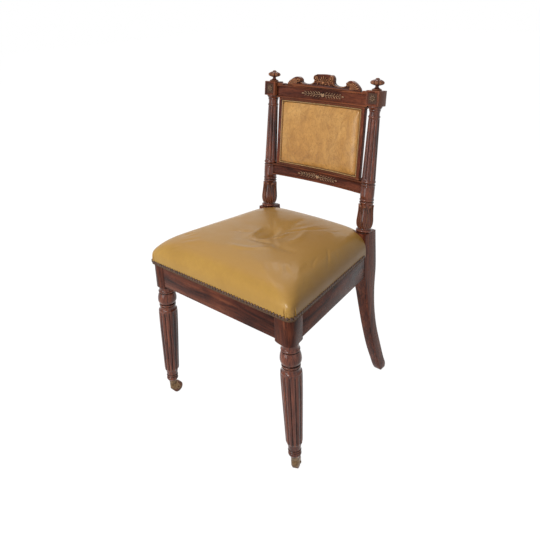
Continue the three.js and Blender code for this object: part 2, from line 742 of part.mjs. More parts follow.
const railV = [-backRailFront, backRailThickness - backRailFront];
const lipV = [lipSetback - backRailFront, backRailThickness - backRailFront];
const innerStileV = [lipV[0], lipV[0] + innerStileThickness];

function sunkPanel(low, high) {
  const reach = dieInnerX - panelEnd;
  const depth = [railV[0] - cutOver, railV[0] + panelSink];
  return bentBar([-reach, reach], depth, [low + panelMargin, high - panelMargin]);
}

// The ends of the top rail rise to a small rounded shoulder beside the dies.
function railShoulder(high) {
  const [start, end] = [dieInnerX - gap - railShoulderLength, dieInnerX - gap];
  const rings = Array.from({ length: shoulderSteps + 2 }, (_, i) => {
    const turn = Math.min(i / shoulderSteps, 1) * (Math.PI / 2);
    const x = i > shoulderSteps ? end : start + railShoulderHeight * (1 - Math.cos(turn));
    const top = high + railShoulderHeight * Math.max(Math.sin(turn), leastRise);
    const corners = [[railV[0], high - cutOver], [railV[1], high - cutOver], [railV[1], top], [railV[0], top]];
    return corners.map(([v, w]) => new THREE.Vector3(x, v + bend(x), w));
  });
  return inBack(loft(rings));
}

const innerTenonHeight = lipHeight + panelMargin;
const innerTenonMiddle = (innerStileV[0] + innerStileV[1]) / 2 + bend(openingHalf + innerStileWidth / 2);
const innerTenonV = [innerTenonMiddle - backTenonThickness / 2, innerTenonMiddle + backTenonThickness / 2];

// Tenons at both ends of the inner stiles
function innerTenons(grow) {
  const x = [openingHalf + innerStileWidth / 4 - grow, innerStileOuterX - innerStileWidth / 4 + grow];
  const v = [innerTenonV[0] - grow, innerTenonV[1] + grow];
  const lower = backBox(x, v, [openingLow - innerTenonHeight - grow, openingLow + cutOver]);
  return lower.add(backBox(x, v, [openingHigh - cutOver, openingHigh + innerTenonHeight + grow]));
}

function topRail() {
  const high = topRailLow + topRailHeight;
  const end = dieInnerX - gap;
  const shoulder = railShoulder(high);
  const body = bentBar([-end, end], railV, [topRailLow, high])
    .add(bentBar([-innerStileOuterX, innerStileOuterX], lipV, [openingHigh, topRailLow + gap]))
    .add(shoulder).add(mirrored(shoulder))
    .subtract(sunkPanel(topRailLow, high))
    .add(topTenon(0)).add(mirrored(topTenon(0)));
  const clear = inBack(column(gap));
  const mortises = innerTenons(gap);
  return body.subtract(clear).subtract(mirrored(clear)).subtract(mortises).subtract(mirrored(mortises));
}

function lowRail() {
  const high = lowRailLow + lowRailHeight;
  const end = stileSpan / 2 - bandRadius / 2;
  const clear = inBack(column(gap));
  const body = bentBar([-end, end], railV, [lowRailLow, high])
    .add(bentBar([-innerStileOuterX, innerStileOuterX], lipV, [high - gap, openingLow]))
    .subtract(sunkPanel(lowRailLow, high))
    .subtract(clear).subtract(mirrored(clear));
  const mortises = innerTenons(gap);
  return body.add(lowTenon(0)).add(mirrored(lowTenon(0))).subtract(mortises).subtract(mirrored(mortises));
}

function innerStile() {
  const rise = [openingLow + gap, openingHigh - gap];
  return bentBar([openingHalf, innerStileOuterX], innerStileV, rise, innerStileStations).add(innerTenons(0));
}

// Cresting: a bent board with its outline sawn to volutes, sweeps and scrolls

function crestOutline() {
  const point = ([x, w]) => new THREE.Vector2(x * crestHalfWidth, w * crestHeight);
  const through = (shares, steps) => new THREE.SplineCurve(shares.map(point)).getPoints(steps);
  const half = [
    ...through(crestBlockShares, scrollSteps), ...through(crestSweepShares, sweepSteps).slice(1),
    ...through(crestScrollShares, scrollSteps).slice(1),
  ];
  const left = half.slice(1).reverse().map((p) => new THREE.Vector2(-p.x, p.y));
  return [...left, ...half].reverse();
}

function cresting() {
  const foot = topRailLow + topRailHeight + gap;
  const shape = new THREE.Shape(crestOutline());
  const geometry = new THREE.ExtrudeGeometry(shape, { depth: crestThickness, bevelEnabled: false });
  const place = geometry.attributes.position;
  const front = railAxisV - crestThickness / 2;
  for (let i = 0; i < place.count; i++) {
    const [x, w, depth] = [place.getX(i), place.getY(i), place.getZ(i)];
    place.setXYZ(i, x, front + crestThickness - depth + bend(x), foot + w);
  }
  const eye = (shares, radius) => {
    const [x, w] = [shares[0] * crestHalfWidth, foot + shares[1] * crestHeight];
    const depth = crestThickness / 2 + voluteRelief;
    const disc = new THREE.CylinderGeometry(radius, radius * voluteTaper, depth, voluteFacets);
    return inBack(disc.translate(x, railAxisV - depth / 2 + bend(x), w));
  };
  const eyes = eye(voluteShares, voluteRadius).add(eye(scrollShares, scrollRadius));
  return inBack(geometry).add(eyes).add(mirrored(eyes));
}

// Back panel upholstery
const padHalf = openingHalf - gap;
const padLow = openingLow + gap;
const padHigh = openingHigh - gap;

function padOutline(inset, perLong = 8, perShort = 3, perCorner = 2) {
  const [x, low, high] = [padHalf - inset, padLow + inset, padHigh - inset];
  const radius = Math.min(padCorner + Math.max(inset, 0) * ringRounding, ((high - low) / 2) * fullestCorner);
  const corners = [[-x, low], [x, low], [x, high], [-x, high]].map(([a, b]) => new THREE.Vector2(a, b));
  const points = [];
  corners.forEach((corner, i) => {
    const [last, next] = [corners[(i + 3) % 4], corners[(i + 1) % 4]];
    const before = corner.clone().add(last.clone().sub(corner).setLength(radius));
    const after = corner.clone().add(next.clone().sub(corner).setLength(radius));
    const end = next.clone().add(corner.clone().sub(next).setLength(radius));
    const count = i % 2 === 0 ? perLong : perShort;
    points.push(...new THREE.QuadraticBezierCurve(before, corner, after).getPoints(perCorner));
    for (let k = 1; k < count; k++) points.push(after.clone().lerp(end, k / count));
  });
  return points;
}

const padRing = (inset, v) => padOutline(inset).map((p) => new THREE.Vector3(p.x, v + bend(p.x), p.y));
const padInsets = [0.8, 1.6, 2.4].map((share) => share * padRoll);

// Rings from the back edge of the pad to its crown.
function padRings(inwards, backV, every = 1) {
  const frontEdge = canvasSetback - padEdge;
  const kept = padProfileShares.filter((_, i) => i % every === 0 || i === padProfileShares.length - 1);
  const front = kept.map(([inset, depth]) =>
    padRing(inset * padRoll + inwards, frontEdge - depth * padCrown + inwards));
  return [padRing(inwards, backV), padRing(inwards, frontEdge + inwards), ...front];
}

const panelSheet = (v, thickness) => bentBar([-padHalf, padHalf], [v, v + thickness], [padLow, padHigh]);

function padLeather() {
  const inside = padRings(leatherThickness, canvasSetback - gap).reverse();
  return inBack(loft([...inside, ...padRings(0, canvasSetback - gap)]));
}

// The stuffing has a back that follows the bend.
function padStuffing() {
  const inwards = leatherThickness + stuffingGap / 2;
  const back = padInsets.map((inset) => padRing(inset, canvasSetback - gap)).reverse();
  return inBack(loft([...back, ...padRings(inwards, canvasSetback - gap, 2)]));
}

function addBackPanel() {
  add("back_panel_leather", padLeather(), backHide);
  add("back_panel_stuffing", padStuffing(), horsehair);
  add("back_panel_canvas", panelSheet(canvasSetback, clothThickness), hessian);
  add("back_panel_rear_leather", panelSheet(backCoverSetback, leatherThickness), backHide);
}

// Castors: every solid is made round its own swivel axis and then placed

const wheelLevel = wheelRadius;
const cupFoot = castorHeight - cupHeight;
const crownTop = cupFoot - swivelGap;
const crownBottom = crownTop - crownThickness;
const pocketWidth = wheelWidth + 2 * hornGap;

function lathed(points) {
  const profile = points.map(([radius, height]) => new THREE.Vector2(radius, height));
  return solid(new THREE.LatheGeometry([...profile, profile[0]], smallFacets).rotateX(Math.PI / 2));
}

function castorCup() {
  const floor = cupFoot + cupFloor;
  return lathed([
    [pinRadius + gap, cupFoot], [cupFootRadius, cupFoot], [cupTopRadius, castorHeight - 2 * cupBead],
    [cupTopRadius + cupBead, castorHeight - cupBead], [cupTopRadius, castorHeight],
    [cupTopRadius - cupWall, castorHeight], [cupFootRadius - cupWall, floor], [pinRadius + gap, floor],
  ]);
}

function castorPin() {
  const head = cupFoot + cupFloor + gap;
  const foot = crownBottom - gap;
  return rod(pinRadius, foot - cutOver / 2, head + rivetThickness / 2)
    .add(rod(rivetRadius, head, head + rivetThickness))
    .add(rod(rivetRadius, foot - rivetThickness, foot));
}

// The horn's side outline: crown, apron that goes on the taper of the cup, and axle bosses.
function hornSide() {
  const r = cupFootRadius;
  const shape = new THREE.Shape();
  shape.moveTo(-r, crownTop);
  shape.lineTo(-apronRadius, apronFoot);
  shape.lineTo(castorTrail - hornBossRadius, wheelLevel);
  shape.absarc(castorTrail, wheelLevel, hornBossRadius, -Math.PI, Math.PI / 4, false);
  shape.lineTo(r, crownBottom);
  shape.lineTo(r, crownTop);
  return shape;
}

const axleRod = (radius, half) =>
  solid(new THREE.CylinderGeometry(radius, radius, 2 * half, smallFacets).rotateZ(Math.PI / 2)
    .translate(0, castorTrail, wheelLevel));

function castorHorn() {
  const drawn = { depth: hornWidth, bevelEnabled: false, curveSegments: hornSegments };
  const geometry = new THREE.ExtrudeGeometry(hornSide(), drawn);
  geometry.rotateX(Math.PI / 2).rotateZ(Math.PI / 2).translate(hornWidth / 2 - hornWidth, 0, 0);
  const side = solid(geometry);
  const disc = rod(cupFootRadius, 0, crownTop).add(
    box([-hornWidth / 2, hornWidth / 2], [0, castorTrail + hornBossRadius + cutOver], [0, crownTop]));
  const pocket = axleRod(wheelRadius + 2 * hornGap, pocketWidth / 2);
  const rivetRoom = rod(rivetRadius + gap, crownBottom - wheelRadius, crownBottom);
  return side.intersect(disc).subtract(pocket).subtract(rivetRoom)
    .subtract(rod(pinRadius + gap, crownBottom - cutOver, crownTop + cutOver))
    .subtract(axleRod(axleRadius + gap, hornWidth));
}

function castorWheel() {
  const half = wheelWidth / 2;
  const bore = axleRadius + gap;
  const geometry = new THREE.LatheGeometry(
    [
      [bore, -half], [wheelRadius - wheelRound, -half], [wheelRadius, wheelRound - half],
      [wheelRadius, half - wheelRound], [wheelRadius - wheelRound, half], [bore, half], [bore, -half],
    ].map(([radius, at]) => new THREE.Vector2(radius, at)), wheelFacets);
  return solid(geometry.rotateZ(Math.PI / 2).translate(0, castorTrail, wheelLevel));
}

const castorAxle = () => {
  const head = hornWidth / 2 + gap;
  const cap = axleRod(axleRadius + 2 * gap, head + rivetThickness).subtract(axleRod(hornBossRadius, head));
  return axleRod(axleRadius, head + rivetThickness / 2).add(cap);
};

function addCastor(side) {
  const sign = side === "right" ? 1 : -1;
  const turn = THREE.MathUtils.radToDeg(castorTurns[side]);
  const [x, y] = legAxis(castorHeight);
  const tipped = y * Math.cos(seatSlope) + castorHeight * Math.sin(seatSlope);
  const stood = (body) => body.rotate([0, 0, turn]).translate([sign * x, tipped, 0]);
  const makers = { cup: castorCup, pin: castorPin, horn: castorHorn, axle: castorAxle, wheel: castorWheel };
  for (const [piece, make] of Object.entries(makers)) place("castor_" + piece + "_" + side, stood(make()), brass);
}

// The whole chair

addPair("front_leg", frontLeg(), rosewood);
addPair("rear_stile", rearStile(), rosewood);
addPair("finial", finial(), rosewood);
add("front_rail", frontRail(), rosewood);
add("rear_rail", rearRail(), rosewood);
addPair("side_rail", sideRail(), rosewood);
addPair("front_brace", frontBrace(), beech);
addPair("rear_brace", rearBrace(), beech);
addWebbing();
add("seat_base_cloth", seatCloth(), hessian);
add("seat_stuffing", seatStuffing(), horsehair);
add("seat_leather", seatLeather(), seatHide);
add("back_top_rail", topRail(), rosewood);
add("back_low_rail", lowRail(), rosewood);
addPair("back_inner_stile", innerStile(), rosewood);
add("back_cresting", cresting(), rosewood);
addBackPanel();
addCastor("left");
addCastor("right");

// The origin is on the floor, under the middle of the chair.
const bounds = new THREE.Box3().setFromObject(chair);
chair.position.set(0, -(bounds.min.y + bounds.max.y) / 2, 0);

export default chair;
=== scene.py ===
import math
import random

import bmesh
import bpy
import numpy as np
from mathutils import Matrix, Vector


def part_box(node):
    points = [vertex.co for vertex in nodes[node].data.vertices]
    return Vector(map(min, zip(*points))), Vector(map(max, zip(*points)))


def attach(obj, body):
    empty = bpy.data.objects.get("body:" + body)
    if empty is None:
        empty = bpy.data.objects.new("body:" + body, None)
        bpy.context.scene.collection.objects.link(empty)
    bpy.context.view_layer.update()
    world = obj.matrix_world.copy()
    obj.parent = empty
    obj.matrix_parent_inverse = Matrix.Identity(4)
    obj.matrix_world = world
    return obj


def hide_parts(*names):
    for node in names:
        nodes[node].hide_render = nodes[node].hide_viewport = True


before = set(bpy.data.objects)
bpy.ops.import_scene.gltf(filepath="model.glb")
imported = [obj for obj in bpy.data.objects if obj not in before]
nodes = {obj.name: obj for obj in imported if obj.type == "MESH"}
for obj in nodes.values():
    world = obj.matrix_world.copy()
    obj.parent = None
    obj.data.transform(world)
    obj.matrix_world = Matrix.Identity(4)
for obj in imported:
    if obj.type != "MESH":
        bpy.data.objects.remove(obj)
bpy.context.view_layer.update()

rng = random.Random(7)

# Sizes in millimetres, in the frame that the solids were drawn in
MM = 0.001
SLOPE = math.radians(1.05)
BLOCK_WIDTH = 48
BLOCK_CORNER = 24
FRONT_SPAN = 432
BLOCK_TOP = 452
BLOCK_BOTTOM = 358
RAIL_LOW = 368.4
FRONT_RAIL_SETBACK = 0.6
SHOULDER = 13
NECK = 21
LEG_RADIUS = 25.9
LEG_FOOT = 49.1
LEG_LENGTH = 309.5
LEG_LEAN = 0.039
LEG_FORWARD = 0.015
LEG_REEDS = 12
LEG_REED_DEPTH = 3.0
STILE_SPAN = 334
STILE_WIDTH = 40
FRAME_DEPTH = 370
PLINTH_TOP = 488
PLINTH_DEPTH = 40
LEG_SWEEP = 116
REAR_SPLAY = 14
COLUMN_SETBACK = 23
COLUMN_REEDS = 8
COLUMN_REED_DEPTH = 2.7
RAKE = math.radians(6)
FINIAL_HEIGHT = 30
FINIAL_RADIUS = 17.5
DIE = 37
DIE_HEIGHT = 38.4
DIE_BORDER = 4.8
DIE_CHAMFER = 1.5
DIE_SINK = 2.6
BULB = 20.5
CHAIR_HEIGHT = 880
NAIL_LINE = 430
SEAT_RISE = 69
SEAT_ROLL = 42
SEAT_CORNER = 21
SEAT_SLACK = 1.2
BACK_SAG = 13
LIP = 6
LIP_SETBACK = 2
LIP_OVERLAP = 9.5
RAIL_FRONT = -9
RAIL_THICK = 20
RAIL_SINK = 4
RAIL_EDGE = 5.4
OPENING_HALF = 131
CREST_HEIGHT = 36
CREST_THICK = 13
PAD_EDGE = -7
PAD_RISE = 10.2
PAD_BACK = 3.7
PAD_STRIP = 3.2
HIDE = 1.2
CLEAR = 0.3

BLOCK_FRONT = -BLOCK_WIDTH / 2
STILE_FRONT = BLOCK_FRONT + FRAME_DEPTH
REAR_RAIL_BACK = STILE_FRONT + PLINTH_DEPTH
FRONT_X = FRONT_SPAN / 2 + BLOCK_WIDTH / 2
STILE_OUT = STILE_SPAN / 2 + STILE_WIDTH / 2
STILE_IN = STILE_SPAN / 2 - STILE_WIDTH / 2
SIDE_SLOPE = (STILE_OUT - FRONT_X) / FRAME_DEPTH
SIDE_STRETCH = math.hypot(1, SIDE_SLOPE)
COLUMN_LENGTH = (CHAIR_HEIGHT - PLINTH_TOP) / math.cos(RAKE) - FINIAL_HEIGHT - DIE_HEIGHT
TOP_RAIL = (COLUMN_LENGTH - 3.8, COLUMN_LENGTH + 30.7)
LOW_RAIL = (COLUMN_LENGTH * 0.307, COLUMN_LENGTH * 0.307 + 32)
DIE_IN = STILE_SPAN / 2 - DIE / 2
CREST_HALF = DIE_IN - 29.5
RAIL_AXIS = RAIL_THICK / 2 + RAIL_FRONT
SEAT_MIDDLE = Vector((0, (BLOCK_FRONT + REAR_RAIL_BACK) / 2))
SQUARE = ((-1, -1), (1, -1), (1, 1), (-1, 1))
ACROSS, BACK, UP = (Vector(axis) for axis in ((1, 0, 0), (0, 1, 0), (0, 0, 1)))

# The chair tips back by the slope of its seat, and was then moved along Y to centre it,
# by as much as the front rail shows.
TIP = Matrix.Rotation(-SLOPE, 3, "X")
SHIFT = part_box("front_rail")[0].y / MM - (TIP @ Vector((0, BLOCK_FRONT + FRONT_RAIL_SETBACK, RAIL_LOW))).y


def at(x, y, z):
    return (TIP @ Vector((x, y, z)) + Vector((0, SHIFT, 0))) * MM


def on_back(x, v, w):
    """A point of the back: x across, v backwards and w up along the columns."""
    c, s = math.cos(RAKE), math.sin(RAKE)
    return at(x, STILE_FRONT + COLUMN_SETBACK + v * c + w * s, PLINTH_TOP - v * s + w * c)


def bend(x):
    return BACK_SAG * (1 - (x / DIE_IN) ** 2)


def proud_of(ground, middle):
    """Puts points of carving: across, up from a middle height, and proud of the bent ground."""
    return lambda a, b, h: on_back(a, ground + bend(a) - h, middle + b)


def side_x(y):
    return FRONT_X + (y - BLOCK_FRONT) * SIDE_SLOPE


def shares(count):
    return [i / count for i in range(count + 1)]


def turns(count):
    return [k / count * 2 * math.pi for k in range(count)]


# Materials

def give(tree, socket, value):
    """Links an output to a socket, or writes a plain value on it."""
    if hasattr(value, "is_output"):
        tree.links.new(value, socket)
    elif socket.type == "RGBA":
        socket.default_value = (*value, 1)
    else:
        socket.default_value = value


def add_node(tree, kind, **values):
    """A node with its settings. A value whose name is a socket's goes to that socket."""
    node = tree.nodes.new(kind)
    for key, value in values.items():
        socket = key.replace("_", " ")
        if socket in node.inputs:
            give(tree, node.inputs[socket], value)
        else:
            setattr(node, key, value)
    return node


def add_maths(tree, kind, first, second=0.0):
    node = add_node(tree, "ShaderNodeMath", operation=kind)
    for socket, value in zip(node.inputs, (first, second)):
        give(tree, socket, value)
    return node.outputs["Value"]


class Nodes:
    """Builds one procedural material."""

    def __init__(self, name):
        self.material = bpy.data.materials.new(name)
        self.material.use_nodes = True
        self.tree = self.material.node_tree
        self.coords = self.add("ShaderNodeTexCoord").outputs["Object"]

    def add(self, kind, **values):
        return add_node(self.tree, kind, **values)

    def maths(self, kind, first, second=0.0):
        return add_maths(self.tree, kind, first, second)

    def stretched(self, *scale):
        return self.add("ShaderNodeMapping", Vector=self.coords, Scale=scale).outputs["Vector"]

    def noise(self, vector, scale, detail=4, rough=0.55, distort=0.0):
        return self.add("ShaderNodeTexNoise", Vector=vector, Scale=scale, Detail=detail, Roughness=rough,
                        Distortion=distort).outputs["Fac"]

    def ramp(self, value, *stops):
        node = self.add("ShaderNodeValToRGB", Fac=value)
        ramp = node.color_ramp
        while len(ramp.elements) < len(stops):
            ramp.elements.new(0.5)
        for element, (place, color) in zip(ramp.elements, stops):
            element.position = place
            element.color = (*color, 1)
        return node.outputs["Color"]

    def levels(self, value, low, high, to_low=0.0, to_high=1.0):
        return self.add("ShaderNodeMapRange", Value=value, From_Min=low, From_Max=high, To_Min=to_low,
                        To_Max=to_high).outputs["Result"]

    def mixed(self, factor, first, second):
        node = self.add("ShaderNodeMix", data_type="RGBA", Factor=factor, A=first, B=second)
        return [o for o in node.outputs if o.type == "RGBA"][0]

    def veined(self, color, noise, width, strength, dark):
        """Thin dark lines where a noise passes through its middle."""
        near = self.maths("ABSOLUTE", self.maths("SUBTRACT", noise, 0.5))
        return self.mixed(self.levels(near, 0.0, width, strength, 0.0), color, dark)

    def shaded(self, color, reach, low, high, strength, dark):
        """Painted shade: a dark colour where the AO node finds hollows, within a reach in metres."""
        shade = self.add("ShaderNodeAmbientOcclusion", samples=6, Distance=reach).outputs["AO"]
        return self.mixed(self.levels(shade, low, high, strength, 0.0), color, dark)

    def bump(self, height, strength, distance, **before):
        return self.add("ShaderNodeBump", Height=height, Strength=strength, Distance=distance,
                        **before).outputs["Normal"]

    def finish(self, color, roughness, normal, **plain):
        values = {"Base Color": color, "Roughness": roughness, "Normal": normal, **plain}
        for key, value in values.items():
            give(self.tree, self.tree.nodes["Principled BSDF"].inputs[key.replace("_", " ")], value)
        return self.material


def rosewood(name, along, darker=1.0, figure=0.5, gloss=0.2, shine=0.12, hollows=0.0, open_grain=1.0, polish=0.0):
    """French polished rosewood, with its grain along X, Y or Z as 0, 1 or 2."""
    made = Nodes(name)
    stretch = lambda share: made.stretched(*(share if i == along else 1 for i in range(3)))
    fine = made.noise(stretch(0.05), 190, 5, 0.62, 0.8)
    bands = made.noise(stretch(0.16), 26, 4, 0.55, 1.6)
    tones = ((0.34, (0.026, 0.007, 0.005)), (0.46, (0.088, 0.022, 0.012)), (0.56, (0.16, 0.042, 0.020)),
             (0.72, (0.26, 0.080, 0.036)))
    color = made.ramp(made.mixed(figure, fine, bands), *((s, tuple(c * darker for c in tone)) for s, tone in tones))
    color = made.veined(color, made.noise(stretch(0.12), 34, 3, 0.5, 2.2), 0.022, 0.55, (0.014, 0.005, 0.004))
    pore = made.levels(made.noise(stretch(0.03), 620, 2, 0.5), 0.56, 0.66, 1.0, 0.0)
    color = made.mixed(made.levels(pore, 0, 1, 0.5, 0), color, (0.010, 0.004, 0.003))
    if hollows:
        pointed = made.add("ShaderNodeNewGeometry").outputs["Pointiness"]
        # Painted highlight: sharp edges, found by pointiness, are lightened as if they caught the light.
        color = made.mixed(made.levels(pointed, 0.515, 0.57, 0.0, 0.6), color, (0.32, 0.105, 0.040))
        # Painted shade: the AO node darkens the hollows, as strong as hollows says.
        color = made.shaded(color, 0.006, 0.55, 0.97, hollows, (0.012, 0.005, 0.004))
    rough = made.levels(made.noise(made.coords, 40, 3), 0.3, 0.7, gloss, gloss + 0.1)
    normal = made.bump(pore, 0.15 * open_grain, 0.0002, Normal=made.bump(fine, 0.06 * open_grain, 0.0006))
    return made.finish(color, rough, normal, Specular_IOR_Level=shine, Coat_Weight=polish, Coat_Roughness=0.05)


def carved_wood(name, crest, body_dark=(0.062, 0.017, 0.011), body_light=(0.15, 0.045, 0.025)):
    """Cut rosewood: darker in the hollows, painted shade with some waxy dust, and the raised edges lighter, a painted
    highlight with some rubbing.
    """
    made = Nodes(name)
    fine = made.noise(made.stretched(0.2, 1, 1), 150, 4, 0.6, 0.6)
    body = made.ramp(fine, (0.35, body_dark), (0.65, body_light))
    pointed = made.add("ShaderNodeNewGeometry").outputs["Pointiness"]
    # Painted highlight with some rubbing: raised edges, found by pointiness, take the lighter crest colour.
    color = made.mixed(made.levels(pointed, 0.505, 0.56, 0.0, 0.95), body, crest)
    # Painted shade with some waxy dust: cut hollows, found by pointiness and by the AO node, are darkened.
    color = made.mixed(made.levels(pointed, 0.47, 0.495, 0.85, 0.0), color, (0.030, 0.017, 0.013))
    color = made.shaded(color, 0.005, 0.35, 0.8, 0.75, (0.028, 0.015, 0.012))
    rough = made.levels(fine, 0.3, 0.7, 0.42, 0.3)
    return made.finish(color, rough, made.bump(fine, 0.12, 0.0004), Specular_IOR_Level=0.16)


def hide(name, tones, worn, dark, gloss):
    """Stained hide: cloudy colour, worn and darker patches, fine grain and creases."""
    made = Nodes(name)
    cloud = made.noise(made.coords, 7, 5, 0.6, 0.4)
    color = made.ramp(cloud, *zip((0.3, 0.5, 0.72), tones))
    patches = made.noise(made.stretched(1, 1, 0.45), 16, 5, 0.65, 1.0)
    color = made.mixed(made.levels(patches, 0.52, 0.75, 0.0, worn), color, dark)
    fine = made.noise(made.coords, 120, 3, 0.6)
    color = made.mixed(made.levels(fine, 0.35, 0.75, 0.0, 0.3), color, dark)
    grain = made.add("ShaderNodeTexVoronoi", feature="F1", Vector=made.coords, Scale=900).outputs["Distance"]
    creases = made.noise(made.coords, 55, 6, 0.7, 0.8)
    normal = made.bump(grain, 0.12, 0.00025, Normal=made.bump(creases, 0.10, 0.0010))
    rough = made.levels(made.noise(made.coords, 30, 4), 0.3, 0.7, gloss, gloss + 0.14)
    return made, color, rough, normal


def seat_hide():
    """Paler where it faces up, a painted sheen with some wear where it is sat on, and painted shade darkens the flank
    away from the light.
    """
    tones = ((0.408, 0.225, 0.047), (0.458, 0.259, 0.055), (0.495, 0.290, 0.070))
    made, color, rough, normal = hide("seat_hide", tones, 0.22, (0.36, 0.195, 0.05), 0.31)
    facing = made.add("ShaderNodeNewGeometry").outputs["Normal"]
    split = made.add("ShaderNodeSeparateXYZ", Vector=facing).outputs
    uneven = made.levels(made.noise(made.coords, 5, 4, 0.6, 0.5), 0.2, 0.7, 0.62, 0.95)
    # Painted sheen with some wear: faces that look up take a paler, duller tint, standing in for the grazing
    # reflection on the top.
    worn = made.maths("MULTIPLY", made.levels(split["Z"], 0.70, 0.985), uneven)
    color = made.mixed(worn, color, (0.46, 0.25, 0.072))
    # Painted shade: faces turned to +X, away from the key light, are darkened.
    color = made.mixed(made.levels(split["X"], 0.3, 0.95, 0.0, 0.72), color, (0.25, 0.128, 0.034))
    return made.finish(color, rough, normal, Specular_IOR_Level=0.19, Coat_Weight=0.12, Coat_Roughness=0.16)


def back_hide():
    """Antiqued hide: a fine network of darker veins over a warm tan."""
    tones = ((0.44, 0.205, 0.052), (0.56, 0.285, 0.078), (0.66, 0.375, 0.125))
    made, color, rough, normal = hide("back_hide", tones, 0.35, (0.33, 0.155, 0.042), 0.24)
    long = made.stretched(1, 1, 0.5)
    drift = made.noise(long, 30, 5, 0.68, 1.6)
    color = made.mixed(made.levels(drift, 0.45, 0.7, 0.0, 0.6), color, (0.31, 0.145, 0.045))
    color = made.veined(color, made.noise(long, 44, 4, 0.6, 2.4), 0.035, 0.5, (0.25, 0.105, 0.030))
    return made.finish(color, rough, normal, Specular_IOR_Level=0.2, Coat_Weight=0.25, Coat_Roughness=0.16)


def rim_hide():
    tones = ((0.50, 0.30, 0.12), (0.60, 0.38, 0.17), (0.66, 0.44, 0.22))
    made, color, rough, normal = hide("rim_hide", tones, 0.2, (0.42, 0.23, 0.09), 0.32)
    return made.finish(color, rough, normal, Specular_IOR_Level=0.35)


def woven(name, light, dark, pitch):
    made = Nodes(name)
    one, two = (made.add("ShaderNodeTexWave", bands_direction=way, Vector=made.coords, Scale=1 / (pitch * MM * 6.3),
                         Distortion=0.6).outputs["Fac"] for way in "XY")
    height = made.maths("MAXIMUM", one, two)
    tint = made.ramp(made.noise(made.coords, 60, 4), (0.3, dark), (0.7, light))
    return made.finish(made.mixed(made.levels(height, 0.2, 0.9), dark, tint), 0.9, made.bump(height, 0.6, 0.0006))


def raw_wood():
    made = Nodes("raw_beech")
    grain = made.noise(made.stretched(1, 0.12, 1), 60, 6, 0.6, 0.6)
    color = made.ramp(grain, (0.3, (0.23, 0.13, 0.06)), (0.7, (0.42, 0.27, 0.14)))
    return made.finish(color, 0.75, made.bump(grain, 0.2, 0.0006))


def metal(name, bright, dull, rough, amount=0.85):
    """Tarnished metal. amount is how much of it is bare metal."""
    made = Nodes(name)
    tarnish = made.noise(made.coords, 130, 5, 0.65, 0.4)
    color = made.ramp(tarnish, (0.32, dull), (0.62, bright))
    scratches = made.noise(made.coords, 700, 2)
    roughness = made.levels(tarnish, 0.3, 0.7, rough + 0.16, rough)
    return made.finish(color, roughness, made.bump(scratches, 0.08, 0.0002), Metallic=amount)


WOOD = rosewood("rosewood_z", 2, 1.15, 0.5)
WOOD_TURNED = rosewood("rosewood_turned", 2, 1.15, 0.45, 0.1, 0.16, 0.95, 0.1, 0.36)
WOOD_BLOCK = rosewood("rosewood_block", 2, 0.8, 0.75, 0.2, 0.09)
WOOD_DIE = rosewood("rosewood_die", 2, 1.05, 0.5, 0.16, 0.15, 0.9)
WOOD_FRONT = rosewood("rosewood_front", 0, 0.8, 0.75, 0.2, 0.1)
WOOD_RAIL = rosewood("rosewood_rail", 0, 0.94, 0.75, 0.2, 0.11, 0.9)
WOOD_SIDE = rosewood("rosewood_side", 1, 0.85, 0.7, 0.22, 0.07)
WOOD_CARVED = carved_wood("rosewood_carved", (0.50, 0.22, 0.10))
WOOD_SPRAY = carved_wood("rosewood_spray", (0.70, 0.44, 0.26), (0.03, 0.012, 0.009), (0.10, 0.04, 0.022))
WOOD_LEAF = carved_wood("rosewood_leaf", (0.30, 0.13, 0.075))
WOOD_DIM = carved_wood("rosewood_dim", (0.24, 0.145, 0.09), (0.03, 0.014, 0.010), (0.09, 0.045, 0.03))
WOOD_GROUND = carved_wood("rosewood_ground", (0.075, 0.036, 0.022), (0.026, 0.011, 0.008), (0.055, 0.025, 0.016))
SEAT_HIDE = seat_hide()
BACK_HIDE = back_hide()
RIM_HIDE = rim_hide()
HESSIAN = woven("hessian", (0.42, 0.33, 0.2), (0.17, 0.12, 0.07), 1.4)
JUTE = woven("jute", (0.40, 0.29, 0.16), (0.15, 0.1, 0.05), 2.2)
BEECH = raw_wood()
BRASS = metal("aged_brass", (0.235, 0.142, 0.07), (0.094, 0.055, 0.029), 0.32)
DARK_BRASS = metal("dark_brass", (0.15, 0.065, 0.04), (0.05, 0.021, 0.014), 0.34)
NAIL = metal("antique_nail", (0.11, 0.05, 0.025), (0.016, 0.009, 0.007), 0.24, 0.35)
STUFFING = woven("horsehair", (0.06, 0.045, 0.035), (0.02, 0.015, 0.01), 0.9)
# A dark hem edge under and between the seat nails, partly painted shade.
HEM_SHADE = woven("hem_edge_and_painted_shade", (0.17, 0.085, 0.035), (0.06, 0.03, 0.014), 0.5)
TAN_THREAD = woven("tan_thread", (0.30, 0.16, 0.07), (0.16, 0.08, 0.035), 0.5)


# Mesh tools

def linked(obj):
    bpy.context.scene.collection.objects.link(obj)
    return obj


def cleaned(mesh, weld=0.0, flat=0.0, thinner=0.0):
    """Welds points, merges flat neighbours, turns every face outwards and draws the form in."""
    work = bmesh.new()
    work.from_mesh(mesh)
    if weld:
        bmesh.ops.remove_doubles(work, verts=work.verts, dist=weld)
    if flat:
        bmesh.ops.dissolve_limit(work, angle_limit=math.radians(flat), verts=work.verts, edges=work.edges)
    bmesh.ops.recalc_face_normals(work, faces=work.faces)
    if thinner:
        work.normal_update()
        for v in work.verts:
            v.co -= v.normal * thinner * MM
    work.to_mesh(mesh)
    work.free()


def new_object(name, points, faces, weld=0.0):
    mesh = bpy.data.meshes.new(name)
    mesh.from_pydata([tuple(p) for p in points], [], faces)
    cleaned(mesh, weld)
    return linked(bpy.data.objects.new(name, mesh))


